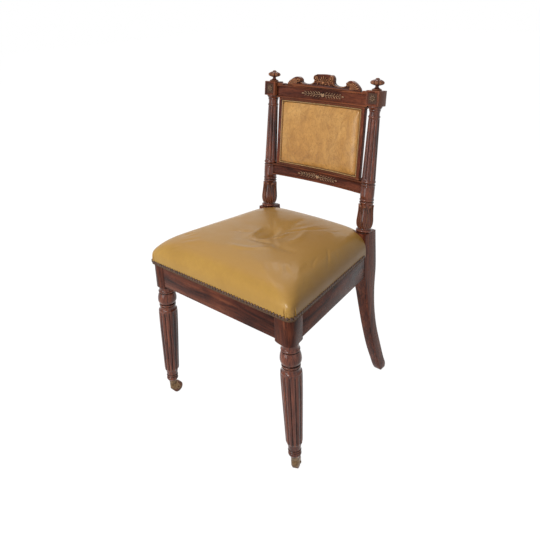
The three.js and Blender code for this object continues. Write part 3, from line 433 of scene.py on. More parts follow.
def soften(obj, sharp):
    mesh = obj.data
    mesh.polygons.foreach_set("use_smooth", [True] * len(mesh.polygons))
    mesh.set_sharp_from_angle(angle=math.radians(sharp))


def dressed(obj, material, sharp, body="frame", node=None):
    """Gives a piece its material in its one slot, its shading and its body, and hides the solid that it stands for.
    """
    obj.data.materials.clear()
    obj.data.materials.append(material)
    soften(obj, sharp)
    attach(obj, body)
    if node:
        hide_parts(node)
    return obj


def piece(name, form, material, sharp=40, node=None):
    return dressed(new_object(name, *form, 1e-6), material, sharp, node=node)


def modified(obj, kind, **settings):
    """Adds a modifier and keeps its result as a plain mesh."""
    tool = obj.modifiers.new(kind.lower(), kind)
    for key, value in settings.items():
        setattr(tool, key, value)
    return plain(obj)


def plain(obj):
    bpy.context.view_layer.update()
    graph = bpy.context.evaluated_depsgraph_get()
    mesh = bpy.data.meshes.new_from_object(obj.evaluated_get(graph))
    obj.modifiers.clear()
    obj.data = mesh
    return obj


def bevelled(obj, width, sharp, segments=2, angle=35):
    modified(obj, "BEVEL", width=width * MM, segments=segments, limit_method="ANGLE",
             angle_limit=math.radians(angle), use_clamp_overlap=True)
    soften(obj, sharp)


def finer(obj):
    modified(obj, "SUBSURF", levels=1, render_levels=1)


def copied(node, suffix):
    obj = nodes[node].copy()
    obj.data = nodes[node].data.copy()
    obj.name = node + suffix
    for key in [k for k in obj.keys() if k.startswith("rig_")]:
        del obj[key]
    return linked(obj)


def refined(node, material, width, sharp=38, body="frame"):
    """A copy of a CAD node with its faces merged and its edges eased."""
    obj = copied(node, "_finished")
    cleaned(obj.data, 2e-6, 1.2)
    if width:
        bevelled(obj, width, sharp)
    dressed(obj, material, sharp, body, node)


def loft(rings, closed=True):
    """Joins rings of points to a form with both ends closed, or open runs of points to a strip."""
    count = len(rings[0])
    points = [p for ring in rings for p in ring]
    last = len(points) - count
    faces = []
    for first in range(0, last, count):
        for i in range(count if closed else count - 1):
            a, b = first + i, first + (i + 1) % count
            faces.append((a, b, b + count, a + count))
    if closed:
        faces += [tuple(range(count))[::-1], tuple(range(last, last + count))]
    return points, faces


def merged(*parts):
    points, faces = [], []
    for more_points, more_faces in parts:
        base = len(points)
        points += list(more_points)
        faces += [tuple(i + base for i in face) for face in more_faces]
    return points, faces


def arc(z0, r0, z1, r1, bulge, steps=8):
    """Rows of a turned profile from one height to the next, swelling or hollowed between."""
    return [(z0 + t * (z1 - z0), r0 + t * (r1 - r0) + bulge * math.sin(math.pi * t)) for t in shares(steps)]


def smooth_rows(rows, per=5):
    """Catmull-Rom rows through a list of number tuples."""
    data = np.array(rows, float)
    out = []
    for i in range(len(data) - 1):
        p0, p1, p2, p3 = (data[min(max(i + k, 0), len(data) - 1)] for k in (-1, 0, 1, 2))
        for j in range(per):
            t = j / per
            out.append(0.5 * (2 * p1 + (p2 - p0) * t + (2 * p0 - 5 * p1 + 4 * p2 - p3) * t ** 2
                              + (3 * p1 - p0 - 3 * p2 + p3) * t ** 3))
    out.append(data[-1])
    return [tuple(row) for row in out]


def unreeded(*parts):
    return [(height, radius, 0) for part in parts for height, radius in part]


def revolve(rows, facets, place, reeds=1, power=2.2):
    """A turned form. place(x, y, height) puts a point of it; a row may have a reed depth."""
    rings = []
    for height, radius, *depth in rows:
        ring = []
        for i in range(facets):
            turn = i * reeds / facets
            groove = abs(2 * (turn - math.floor(turn)) - 1) ** power
            reach = radius - sum(depth) * groove
            angle = 2 * math.pi * i / facets
            ring.append(place(reach * math.cos(angle), reach * math.sin(angle), height))
        rings.append(ring)
    return loft(rings)


def ridge(path, half, height, lay, sections=7, sink=0.35):
    """A carved ridge along a flat path. lay(a, b, h) puts a point that stands h proud of the ground."""
    rings = []
    last = len(path) - 1
    for k, (a, b) in enumerate(path):
        before, after = path[max(k - 1, 0)], path[min(k + 1, last)]
        run = Vector((after[0] - before[0], after[1] - before[1]))
        run = run.normalized() if run.length else Vector((1, 0))
        wide, tall = half(k / last), height(k / last)
        ring = []
        for j in range(sections):
            s = 2 * j / (sections - 1) - 1
            rise = (tall + sink) * (1 - s * s) ** 0.7 - sink
            ring.append(lay(a - run.y * s * wide, b + run.x * s * wide, rise))
        rings.append(ring)
    return loft(rings, False)


def fading(path, half, tall, lay, sections=7):
    """A ridge. Its half width and its height are each a first value and what is lost along the path."""
    return ridge(path, lambda t: half[0] - half[1] * t, lambda t: tall[0] - tall[1] * t, lay, sections)


def grown(start, heading, length, curl, steps):
    """The path of a stem that starts on a heading and turns by curl as it goes."""
    path = [start]
    for _ in range(steps):
        heading += curl / steps
        x, y = path[-1]
        path.append((x + math.cos(heading) * length / steps, y + math.sin(heading) * length / steps))
    return path


def leaf(start, angle, length, width, tall, lay, curl=0.0, steps=9):
    """A pointed leaf from a base point, with a folded middle."""
    half = lambda t: max(width / 2 * math.sin(math.pi * min(t * 1.05 + 0.08, 1)) ** 0.8, 0.08)
    high = lambda t: tall * (0.35 + 0.65 * math.sin(math.pi * min(t * 0.9 + 0.1, 1)))
    return ridge(grown(start, angle, length, curl, steps), half, high, lay)


def lobe(start, angle, length, width, tall, lay, curl=0.0):
    """A shell rib: narrow at its root, broad and full near its rounded tip."""
    half = lambda t: max(width / 2 * (0.25 + 0.75 * t) * math.sqrt(max(1 - max(t - 0.72, 0) ** 2 / 0.0784, 0)), 0.15)
    high = lambda t: tall * (0.45 + 0.55 * t) * math.sqrt(max(1 - max(t - 0.8, 0) ** 2 / 0.045, 0.02))
    return ridge(grown(start, angle, length, curl, 10), half, high, lay, 9)


def boss(x, w, rows, facets, lay):
    """A round boss, from rows of its radius and height."""
    return loft([[lay(x + r * math.cos(a), w + r * math.sin(a), h) for a in turns(facets)] for r, h in rows])


def rosette(first, turn, *sizes):
    """A leaf that starts at a distance from the middle and points away from it."""
    return leaf((first * math.cos(turn), first * math.sin(turn)), turn, *sizes)


def rounded(first, corner, last, steps):
    return [first * (1 - t) ** 2 + corner * 2 * t * (1 - t) + last * t * t for t in shares(steps)]


def rounded_loop(corners, radius, steps, per):
    """Points round four corners, per of them for each side with its corner."""
    points = []
    for i, c in enumerate(corners):
        before, after = corners[i - 1], corners[(i + 1) % 4]
        first, last = (c + (p - c).normalized() * radius for p in (before, after))
        end = after + (c - after).normalized() * radius
        points += rounded(first, c, last, steps)
        points += [last.lerp(end, k / (per - steps)) for k in range(1, per - steps)]
    return points


# Front legs

# The sizes that the rows of the turned profiles were drawn for
DRAWN_LEG = 25.4
DRAWN_BULB = 20


def block_plan(sign):
    """The square block in plan, its outer front corner rounded and its outer face in line with the side."""
    back = BLOCK_WIDTH / 2
    inner = FRONT_SPAN / 2 - BLOCK_WIDTH / 2
    first = Vector((FRONT_X - BLOCK_CORNER, BLOCK_FRONT))
    last = Vector((side_x(BLOCK_FRONT + BLOCK_CORNER), BLOCK_FRONT + BLOCK_CORNER))
    plan = [Vector((inner, BLOCK_FRONT)), *rounded(first, Vector((FRONT_X, BLOCK_FRONT)), last, 12),
            Vector((side_x(back), back)), Vector((inner, back))]
    return [(sign * p.x, p.y) for p in plan]


def leg_rows():
    """Rings at the foot, reeds, cove, ring, ball and neck. Each row is a height, a radius and a reed depth."""
    z = lambda share: LEG_FOOT + share * LEG_LENGTH
    rows = unreeded(
        arc(LEG_FOOT, 13.2, 61.2, 14.6, 2.4, 10), arc(61.4, 13.6, 63.4, 13.9, -0.7, 5),
        arc(63.6, 15.0, 67.4, 15.0, 0.9, 6), arc(67.6, 13.9, 70.5, 14.2, -0.6, 5),
        arc(71, 15.2, z(0.115), 16.6, 0.0, 6))
    for share, width, depth in ((0.118, 17.6, 0.1), (0.122, 18.9, 0.5), (0.13, 19.7, 0.85), (0.142, 20.1, 1),
                                (0.3, 21.6, 1), (0.46, 23.3, 1), (0.6, 24.6, 1), (0.7, 25.2, 1),
                                (0.728, 25.3, 0.95), (0.74, 25.2, 0.75), (0.747, 24.9, 0.4), (0.751, 24.3, 0)):
        rows.append((z(share), width, LEG_REED_DEPTH * depth))
    ball = ((0.826, 20.5), (0.838, 22.8), (0.851, 24.3), (0.866, 24.8), (0.884, 24.5), (0.905, 23.4),
            (0.922, 21.8), (0.931, 20.6))
    rows += unreeded(
        arc(z(0.7525), 24.3, z(0.7635), 24.0, 0.5, 6), arc(z(0.765), 23.2, z(0.7985), 21.4, -1.3, 9),
        arc(z(0.7995), 20.1, z(0.802), 20.1, -0.3, 4), arc(z(0.8035), 21.1, z(0.819), 21.0, 0.9, 6),
        arc(z(0.8205), 19.3, z(0.8245), 19.4, -0.5, 4), smooth_rows([(z(s), r) for s, r in ball]),
        arc(z(0.9325), 19.3, z(0.9375), 19.4, -0.5, 4), arc(z(0.939), 21.2, z(0.953), 21.2, 0.8, 6),
        arc(z(0.955), 20.4, z(0.985), 19.7, -0.8, 8), [(BLOCK_BOTTOM + 6, 19.8)])
    return [(h, r * (LEG_RADIUS / DRAWN_LEG if h > z(0.05) else 1), d) for h, r, d in rows]


def front_leg(side, sign):
    def place(x, y, z):
        drop = BLOCK_BOTTOM - max(z, LEG_FOOT - 0.6)
        return at(sign * (FRONT_SPAN / 2 + LEG_LEAN * drop + x), y - LEG_FORWARD * drop, z)

    node = "front_leg_" + side
    piece("front_leg_shaft_" + side, revolve(leg_rows(), 192, place, LEG_REEDS), WOOD_TURNED, 32, node=node)
    solid = loft([[at(x, y, z) for x, y in block_plan(sign)] for z in (BLOCK_BOTTOM - SHOULDER, BLOCK_TOP)])
    block = piece("front_leg_block_" + side, solid, WOOD_BLOCK, node=node)
    # The foot of the block is turned round to the neck of the leg
    reach = BLOCK_WIDTH * math.sqrt(0.5) + 4
    rows = [(BLOCK_BOTTOM - SHOULDER, 17), (BLOCK_BOTTOM - 0.6, 17.5)]
    rows += [(BLOCK_BOTTOM + SHOULDER * (1 - math.cos(t)), NECK + (reach - NECK) * math.sin(t))
             for t in (s * math.pi / 2 for s in shares(14))]
    rows.append((BLOCK_TOP + 2, reach))
    turned = revolve(rows, 128, lambda x, y, z: at(sign * (FRONT_SPAN / 2) + x, y, z))
    cutter = new_object("leg_cutter", *turned, 1e-6)
    modified(block, "BOOLEAN", operation="INTERSECT", solver="EXACT", object=cutter)
    bpy.data.objects.remove(cutter)
    bevelled(block, 0.7, 35, 2, 30)


# Rear stiles

# Height, front and back of the sweep, and width, as shares
SABRE = ((0, 0.98, 1.06, 0.38), (0.006, 0.925, 1.09, 0.49), (0.015, 0.88, 1.105, 0.57), (0.045, 0.815, 1.1, 0.62),
         (0.1, 0.73, 1.005, 0.65), (0.22, 0.55, 0.84, 0.7), (0.36, 0.39, 0.66, 0.74), (0.495, 0.27, 0.545, 0.82),
         (0.62, 0.17, 0.495, 0.92), (0.7, 0.08, 0.495, 0.98), (0.765, 0.005, 0.505, 1), (0.85, 0, 0.485, 1),
         (0.93, 0, 0.455, 1), (1, 0, 0.432, 1))
SABRE_EDGE = 1.6


def sabre_leg(side, sign):
    rings = []
    for height, front, back, width in smooth_rows(SABRE):
        low, high = (STILE_FRONT + share * LEG_SWEEP for share in (front, back))
        half = width * STILE_WIDTH / 2
        x = STILE_SPAN / 2 + REAR_SPLAY * max(1 - height / 0.76, 0) ** 1.6
        ring = []
        c = SABRE_EDGE
        for cx, cy, first in ((x + half - c, high - c, 0), (x - half + c, high - c, 90), (x - half + c, low + c, 180),
                              (x + half - c, low + c, 270)):
            for k in range(4):
                a = math.radians(first + 30 * k)
                y = cy + c * math.sin(a)
                floor = y * math.tan(SLOPE)
                ring.append(at(sign * (cx + c * math.cos(a)), y, floor + height * (PLINTH_TOP - floor)))
        rings.append(ring)
    piece("rear_leg_" + side, loft(rings), WOOD, 30, node="rear_stile_" + side)


def column_rows():
    """Bulb, rings, reeds and neck of a column, in the same rows as the leg's."""
    w = lambda share: share * COLUMN_LENGTH
    bulb = ((0.036, 17.0), (0.055, 19.1), (0.085, 20.0), (0.12, 19.1), (0.165, 17.4), (0.2, 16.7), (0.23, 17.0))
    rows = unreeded(
        [(-8, 18.6), (0.2, 18.6)], arc(0.4, 19.0, w(0.022), 19.4, 1.9), arc(w(0.0225), 18.4, w(0.034), 16.8, -0.9, 6),
        smooth_rows([(w(s), r) for s, r in bulb]), arc(w(0.237), 17.4, w(0.2505), 17.6, 1.1, 6),
        arc(w(0.2515), 16.9, w(0.257), 16.9, -0.5, 4), arc(w(0.258), 17.5, w(0.275), 17.5, 1.2, 6),
        [(w(s), r) for s, r in ((0.277, 17.1), (0.28, 17.6), (0.3, 17.85), (0.375, 17.85), (0.378, 17.3))],
        arc(w(0.38), 17.5, w(0.394), 17.5, 1.1, 6), arc(w(0.3955), 16.9, w(0.402), 16.9, -0.6, 4),
        arc(w(0.403), 17.5, w(0.424), 17.4, 1.2, 6), [(w(0.426), 17.0)])
    for share, width, depth in ((0.429, 16.9, 0.2), (0.434, 17.2, 0.7), (0.442, 17.2, 1), (0.6, 16.0, 1),
                                (0.75, 15.0, 1), (0.89, 14.0, 1), (0.9, 13.9, 0.8), (0.906, 13.6, 0.3),
                                (0.909, 13.3, 0)):
        rows.append((w(share), width, COLUMN_REED_DEPTH * depth))
    bell = ((0.974, 13.9), (0.984, 15.6), (0.992, 17.2), (1.0, 17.4))
    rows += unreeded(arc(w(0.911), 13.4, w(0.929), 13.4, 1.5), arc(w(0.931), 12.9, w(0.962), 13.3, -0.4, 6),
                     arc(w(0.964), 13.9, w(0.972), 14.0, 0.6, 5), smooth_rows([(w(s), r) for s, r in bell], 4))
    return [(h, r * BULB / DRAWN_BULB, d) for h, r, d in rows]


COLUMN = column_rows()


def column(side, sign):
    place = lambda x, y, w: on_back(sign * (STILE_SPAN / 2) + x, y, w)
    form = revolve(COLUMN, 144, place, COLUMN_REEDS, 2.0)
    piece("rear_column_" + side, form, WOOD_TURNED, 32, node="rear_stile_" + side)


def die(side, sign):
    """The square die with a sunk, chamfered panel on its front, and a rosette on a dark ground in it."""
    half, rise = DIE / 2, DIE_HEIGHT / 2
    middle = COLUMN_LENGTH + rise
    x = sign * STILE_SPAN / 2
    sunk = DIE_BORDER + DIE_CHAMFER
    rings = [[on_back(x + a * (half - less), v, middle + b * (rise - less)) for a, b in SQUARE]
             for less, v in ((0, half), (0, -half), (DIE_BORDER, -half), (sunk, -half + DIE_SINK))]
    body = piece("rear_die_" + side, loft(rings), WOOD_DIE, node="rear_stile_" + side)
    bevelled(body, 1.2, 30, 3, 25)

    place = lambda a, b, h: on_back(x + a, -half + DIE_SINK - h, middle + b)
    plate = [[place(a * (half - sunk - r), b * (rise - sunk - r), h) for a, b in SQUARE]
             for r, h in ((0.05, -0.4), (0.05, 0.1), (0.3, 0.35))]
    piece("die_ground_" + side, loft(plate), WOOD_GROUND)
    parts = []
    for turn in turns(8):
        turn += math.pi / 8
        parts += [rosette(2.2, turn, 8.2, 4.2, 2.9, place), rosette(3, turn + 0.39, 5.4, 2.0, 1.4, place)]
    dome = [(2.7 * math.sin(s * math.pi / 2), 3.2 * math.cos(s * math.pi / 2)) for s in shares(8)[1:]]
    piece("die_rosette_" + side, merged(*parts, boss(0, 0, dome, 16, place)), WOOD_DIM, 60)


# Height, radius and depth of the lobes, as shares
FINIAL = ((0, 0.68, 0), (0.04, 0.72, 0), (0.09, 0.64, 0), (0.16, 0.44, 0), (0.22, 0.29, 0), (0.32, 0.25, 0),
          (0.37, 0.3, 0.1), (0.41, 0.54, 0.6), (0.47, 0.83, 1), (0.55, 0.98, 1), (0.64, 1, 1), (0.72, 0.93, 1),
          (0.79, 0.76, 0.9), (0.85, 0.52, 0.6), (0.88, 0.34, 0.15), (0.91, 0.29, 0), (0.95, 0.27, 0),
          (0.985, 0.17, 0), (1, 0.02, 0))


def finial(side, sign):
    """A lobed bud on a short neck over a low dome."""
    base = COLUMN_LENGTH + DIE_HEIGHT
    shape = smooth_rows([(base + CLEAR + h * (FINIAL_HEIGHT - CLEAR), r * FINIAL_RADIUS, d) for h, r, d in FINIAL], 4)
    rows = [(base - 3, 4, 0)] + [(a, b, max(c, 0) * 3.6) for a, b, c in shape]
    place = lambda x, y, w: on_back(sign * (STILE_SPAN / 2) + x, y, w)
    form = revolve(rows, 128, place, COLUMN_REEDS, 2.6)
    piece("finial_carved_" + side, form, WOOD_CARVED, 50, node="finial_" + side)


# Back rails and carving

def bent_bar(section, half, steps=48):
    """A bar whose section of v and w points follows the bend of the back."""
    return loft([[on_back(x, v + bend(x), w) for v, w in section]
                 for x in (2 * half * i / steps - half for i in range(steps + 1))])


def spray(low, high, reach):
    """A spray of laurel leaves to both sides of a rosette, cut in the sunk panel of a rail."""
    place = proud_of(RAIL_FRONT + RAIL_SINK, (low + high) / 2)
    parts = []
    count = 6
    for side in (-1, 1):
        forward = 0 if side > 0 else math.pi
        stem = [(side * (4 + (reach - 8) * t), 0) for t in shares(14)]
        parts.append(ridge(stem, lambda t: 0.8 * (1 - 0.4 * t), lambda t: 1.3, place, 5))
        for k in range(count):
            t = (k + 0.3) / count
            x = side * (5 + (reach - 14) * t)
            size = 13.2 * (1 - 0.24 * t)
            for up in (-1, 1):
                heading = forward + up * side * (0.92 - 0.16 * t)
                parts.append(leaf((x, up * 1.2), heading, size, 1.9, 2.4, place, -up * side * 0.3, 7))
        parts.append(leaf((side * (reach - 6), 0), forward, 9, 3.4, 2.3, place))
    parts += [rosette(1.4, turn, 5.6, 3.6, 3.4, place) for turn in turns(8)]
    parts.append(boss(0, 0, ((2.0, 1.8), (1.7, 3.4), (0.9, 4.2), (0.1, 4.4)), 12, place))
    return merged(*parts)


def rail_section(low, high):
    """Front outline of a back rail: fillet, ovolo into the sunk panel, flat, ovolo, fillet."""
    front, back, fillet = RAIL_FRONT, RAIL_FRONT + RAIL_THICK, 1.1
    start = low + RAIL_EDGE - 1.2
    section = [(front, low), (front, start - 0.4), (front + fillet, start)]
    section += [(front + fillet + (RAIL_SINK - fillet) * math.sin(t), start + 3.4 * (1 - math.cos(t)))
                for t in (s * math.pi / 2 for s in shares(4)[1:])]
    mirrored = [(v, low + high - w) for v, w in reversed(section)]
    return section + mirrored + [(back, high), (back, low)]


def shoulder(sign, end, high):
    """The rounded lift of the top rail where it meets a die."""
    back, lift = RAIL_FRONT + RAIL_THICK, 4.5
    rings = []
    for i in range(10):
        turn = min(i / 8, 1) * math.pi / 2
        x = sign * (end if i > 8 else end - 19 + lift * (1 - math.cos(turn)))
        rise = lift * max(math.sin(turn), 0.05)
        rings.append([on_back(x, v + bend(x), w) for v, w in (
            (RAIL_FRONT, high - 1), (back, high - 1), (back, high + rise), (RAIL_FRONT, high + rise))])
    return loft(rings)


def back_rail(name, span, half, lip, reach, *more):
    """A moulded rail with the lip that the panel sits behind, and its laurel spray."""
    inner, back = RAIL_FRONT + LIP_SETBACK, RAIL_FRONT + RAIL_THICK
    section = [(inner, lip[0]), (inner, lip[1]), (back, lip[1]), (back, lip[0])]
    parts = merged(bent_bar(rail_section(*span), half), bent_bar(section, OPENING_HALF + LIP_OVERLAP), *more)
    bevelled(piece(name + "_moulded", parts, WOOD_RAIL, 30, node="back_" + name), 0.5, 32, 2, 40)
    piece(name + "_laurel", spray(*span, reach), WOOD_SPRAY, 60)


def back_rails():
    low, high = TOP_RAIL
    end = DIE_IN - CLEAR
    back_rail("top_rail", TOP_RAIL, end, (low - LIP, low + 1), 68, *(shoulder(sign, end, high) for sign in (-1, 1)))
    low, high = LOW_RAIL
    back_rail("low_rail", LOW_RAIL, STILE_SPAN / 2 - 12, (high - 1, high + LIP), 66)


def spiral(cx, cy, start, around, outer, inner, steps=30):
    return [(cx + (outer + (inner - outer) * t) * math.cos(start + around * 2 * math.pi * t),
             cy + (outer + (inner - outer) * t) * math.sin(start + around * 2 * math.pi * t)) for t in shares(steps)]


def cresting():
    """Scrolls, a shell between them and a fan of ribs at each side, on the CAD's board."""
    refined("back_cresting", WOOD_RAIL, 0.9, 40)
    place = proud_of(RAIL_AXIS - CREST_THICK / 2, TOP_RAIL[1] + CLEAR)
    parts = []
    for side in (-1, 1):
        x, w = side * 0.2 * CREST_HALF, 0.69 * CREST_HEIGHT
        path = spiral(x, w, math.pi / 2, -side * 1.55, 7.6, 2.0, 44)
        parts.append(fading(path, (1.9, 0.8), (5.2, 0.9), place, 9))
        parts.append(boss(x, w, ((2.6, 2.4), (2.3, 4.6), (1.2, 5.6), (0.1, 5.8)), 14, place))
        rim = ((28.6, 24), (28.9, 18.5), (30.8, 12.4), (38.5, 8.0), (53.5, 6.2), (66.5, 7.4), (73.8, 10.2))
        stem = ((17.6, 23.5), (17, 15), (20.5, 8), (29, 4.2), (44, 3.0))
        for line, *sizes in ((rim, (1.2, 0), (1.9, 0)), (stem, (1.5, 0.7), (3.0, 1.6))):
            parts.append(fading([(side * a, b) for a, b in smooth_rows(line, 6)], *sizes, place))
        x, w = side * 0.69 * CREST_HALF, 0.47 * CREST_HEIGHT
        path = spiral(x, w, math.pi / 2 + side * 1.2, side * 1.25, 6.2, 1.6, 34)
        parts.append(fading(path, (1.6, 0.6), (4.6, 0.8), place, 9))
        parts.append(boss(x, w, ((2.1, 2.2), (1.8, 4.2), (0.9, 5.0), (0.1, 5.2)), 14, place))
        for turn, length in ((1.30, 16.5), (1.03, 20), (0.78, 22.5), (0.55, 25.5), (0.33, 28.5), (0.12, 31)):
            heading = turn if side > 0 else math.pi - turn
            parts.append(lobe((side * 85.5, 2.6), heading, length, 5.6, 3.4, place, side * 0.1))
    for k in range(-3, 4):
        size = 17.5 - 1.3 * abs(k)
        parts.append(lobe((-0.7 * k, 14.5), math.pi / 2 + k * 0.4, size, 4.4, 4.4 - 0.4 * abs(k), place, k * 0.12))
    for k in range(-2, 3):
        parts.append(lobe((0.8 * k, 13.5), -math.pi / 2 + k * 0.55, 11.5 - abs(k) * 1.2, 3.6, 3.0, place))
    parts.append(boss(0, 14.2, ((3.0, 2.0), (2.7, 4.2), (1.5, 5.4), (0.1, 5.7)), 14, place))
    piece("cresting_carving", merged(*parts), WOOD_CARVED, 60)


def bulb_leaves(side, sign):
    """Eight water leaves round the bulb at the foot of a column: hollow blades with raised rims."""
    parts = []
    foot, tip = 0.036 * COLUMN_LENGTH, 0.218 * COLUMN_LENGTH
    length = tip - foot
    heights, radii = [row[0] for row in COLUMN], [row[1] for row in COLUMN]
    wide = lambda t: 0.9 + 6.0 * math.sin(math.pi * (0.14 + 0.76 * t)) ** 0.8
    for k in range(8):

        def place(a, b, h, centre=2 * math.pi * (k + 0.5) / 8):
            r = float(np.interp(b, heights, radii)) + h
            angle = centre + a / 18.5
            return on_back(sign * STILE_SPAN / 2 + r * math.cos(angle), r * math.sin(angle), b)

        for up in (-1, 1):
            rim = [(up * wide(t) * (1 - 0.12 * t), foot + length * t) for t in shares(16)]
            rim += [(up * wide(1) * 0.45, tip + 1.6), (0, tip + 2.2)]
            parts.append(ridge(rim, lambda t: 0.9, lambda t: 1.5 + 1.6 * t, place, 7, 0.2))
        rib = [(0, foot + length * 0.94 * t) for t in shares(12)]
        parts.append(ridge(rib, lambda t: 0.8 * (1 - 0.5 * t), lambda t: 1.1, place, 7, 0.2))
        curl = [(0, tip - 3.5 + 6 * t) for t in shares(6)]
        parts.append(ridge(curl, lambda t: 0.6 + 3.2 * math.sin(math.pi * min(0.25 + 0.7 * t, 1)),
                           lambda t: 3.4 * math.sin(math.pi * (0.2 + 0.65 * t)), place, 9, 0.2))
    piece("column_leaves_" + side, merged(*parts), WOOD_LEAF, 60)


# Upholstery

def even_form(name, rings, voxel):
    """A closed form of points in millimetres, remeshed in even squares."""
    obj = new_object(name, *loft([[Vector(p) * MM for p in ring] for ring in rings]))
    modified(obj, "REMESH", mode="VOXEL", voxel_size=voxel * MM)
    return modified(obj, "SMOOTH", factor=0.5, iterations=5)


def read(mesh, what="co"):
    flat = np.empty(len(mesh.vertices) * 3)
    mesh.vertices.foreach_get(what, flat)
    return flat.reshape(-1, 3)


def write(obj, points):
    """Puts the points of a mesh where an array in millimetres says."""
    obj.data.vertices.foreach_set("co", (points * MM).ravel())


CLOTH = {"quality": 4, "mass": 0.3, "tension_stiffness": 12, "compression_stiffness": 12, "bending_stiffness": 1.2,
         "use_pressure": True, "vertex_group_mass": "held"}


def swell(obj, held, pressure, cap, sink, frames=20):
    """Blows the form up as cloth over its filling, then keeps the result as a plain mesh.

    held says which points, in millimetres, stay where they are nailed or sewn. No point moves by
    more than cap millimetres, or sinks into the filling by more than sink.
    """
    scene = bpy.context.scene
    before = read(obj.data)
    group = obj.vertex_groups.new(name="held")
    group.add([int(i) for i in np.nonzero(held(before / MM))[0]], 1.0, "REPLACE")
    cloth = obj.modifiers.new("cloth", "CLOTH")
    for key, value in CLOTH.items():
        setattr(cloth.settings, key, value)
    cloth.settings.uniform_pressure_force = pressure
    cloth.settings.effector_weights.gravity = 0
    cloth.collision_settings.use_collision = False
    cloth.collision_settings.use_self_collision = False
    cloth.point_cache.frame_start, cloth.point_cache.frame_end = 1, frames
    first = scene.frame_current
    for step in range(1, frames + 1):
        scene.frame_set(step)
    plain(obj)
    scene.frame_set(first)
    move = read(obj.data) - before
    normals = read(obj.data, "normal")
    inwards = np.minimum((move * normals).sum(axis=1) + sink * MM, 0)
    move -= inwards[:, None] * normals
    size = np.linalg.norm(move, axis=1)
    move *= (np.minimum(size, cap * MM) / np.maximum(size, 1e-9))[:, None]
    obj.data.vertices.foreach_set("co", (before + move).ravel())
    obj.vertex_groups.clear()


def seat_ring(inset, height=0.0):
    """The outline of the seat in plan at an inset and height, as even steps round its corners."""
    low, high = BLOCK_FRONT + inset, REAR_RAIL_BACK - inset
    grown_corner = SEAT_CORNER + max(inset, 0) * 0.4 + max(NAIL_LINE + height - BLOCK_TOP, 0) * 0.7
    half = lambda y: side_x(y) - inset * SIDE_STRETCH
    corners = [Vector(p) for p in ((-half(low), low), (half(low), low), (half(high), high), (-half(high), high))]
    return rounded_loop(corners, min(grown_corner, (high - low) / 2 * 0.8), 14, 72)


# Inset as a share of the roll, and height as a share of the rise
SEAT_PROFILE = ((-0.05, 0), (-0.06, 0.1), (-0.064, 0.22), (-0.045, 0.36), (0.025, 0.5), (0.16, 0.625),
                (0.345, 0.745), (0.6, 0.845), (1, 0.92), (1.7, 0.97), (2.7, 0.995), (3.8, 1))
HEM_INSET = SEAT_PROFILE[0][0] * SEAT_ROLL


def seat_lift(x, y):
    """What is added to the height of the seat at a point: fuller edges and a hollow middle."""
    across = min((x / side_x(y)) ** 2, 1)
    along = min(((y - SEAT_MIDDLE.y) / (REAR_RAIL_BACK - SEAT_MIDDLE.y)) ** 2, 1)
    far = math.hypot(x - SEAT_MIDDLE.x, y - SEAT_MIDDLE.y)
    behind = min(max((y - SEAT_MIDDLE.y - 40) / 110, 0), 1)
    return 7.5 * (1 - across) + 2.8 * (1 - along) - 7 * math.exp(-(far / 62) ** 2) + 2 * behind


def seat_form():
    rings = [[(p.x, p.y, NAIL_LINE - 14) for p in seat_ring(HEM_INSET)]]
    for inset, height in smooth_rows(SEAT_PROFILE):
        rise = height * SEAT_RISE
        rings.append([(p.x, p.y, NAIL_LINE + rise + height * (seat_lift(p.x, p.y) - SEAT_SLACK))
                      for p in seat_ring(inset * SEAT_ROLL, rise)])
    last = [Vector(p) for p in rings[-1]]
    middle = sum(last, Vector()) / len(last)
    for k in range(1, 12):
        shrunk = [p.lerp(middle, k / 12) for p in last]
        rings.append([(q.x, q.y, NAIL_LINE + SEAT_RISE + seat_lift(q.x, q.y) - SEAT_SLACK) for q in shrunk])
    return rings


PULL_STRENGTH = 1.1
# Soft ridges and creases of the seat: points of a line, half width, height
PULLS = (
    (((-18, 60), (8, 60), (38, 73), (68, 103)), 9, 3.0), (((-14, 124), (-24, 152), (-31, 188)), 9, 2.8),
    (((86, 156), (92, 190), (74, 240)), 10, 2.6), (((34, 158), (45, 178), (40, 202)), 6, 2.6),
    (((8, 136), (15, 172), (2, 208)), 9, -4.2), (((-4, 112), (24, 122), (56, 126)), 10, -3.0),
    (((-62, 150), (-40, 118), (-24, 92)), 13, -1.8), (((30, 232), (22, 262), (24, 292)), 11, -1.8),
    (((64, 130), (98, 120), (132, 124)), 12, -1.8), (((52, 218), (70, 252), (80, 288)), 11, 1.5),
    (((168, 204), (190, 178), (214, 142)), 2.6, -1.2), (((186, 216), (206, 196), (221, 168)), 2.4, -1.1),
    (((176, 150), (184, 128), (196, 108)), 2.4, -0.7), (((-190, 190), (-206, 168), (-214, 140)), 2.4, -0.8),
)


def seat_folds(points):
    """Height added at each point by the pulls that run from the hollow, and by the creases."""
    lift = np.zeros(len(points))
    for line, half, tall in PULLS:
        path = np.array(smooth_rows(line, 8))
        best = np.full(len(points), 1e9)
        where = np.zeros(len(points))
        for k in range(len(path) - 1):
            a, run = path[k], path[k + 1] - path[k]
            t = np.clip(((points - a) @ run) / (run @ run), 0, 1)
            far = np.linalg.norm(points - (a + t[:, None] * run), axis=1)
            nearer = far < best
            best[nearer] = far[nearer]
            where[nearer] = (k + t[nearer]) / (len(path) - 1)
        fade = np.clip(np.sin(np.pi * (0.06 + 0.88 * where)), 0, 1) ** 0.8
        lift += PULL_STRENGTH * tall * fade * np.exp(-(best / half) ** 2)
    return lift


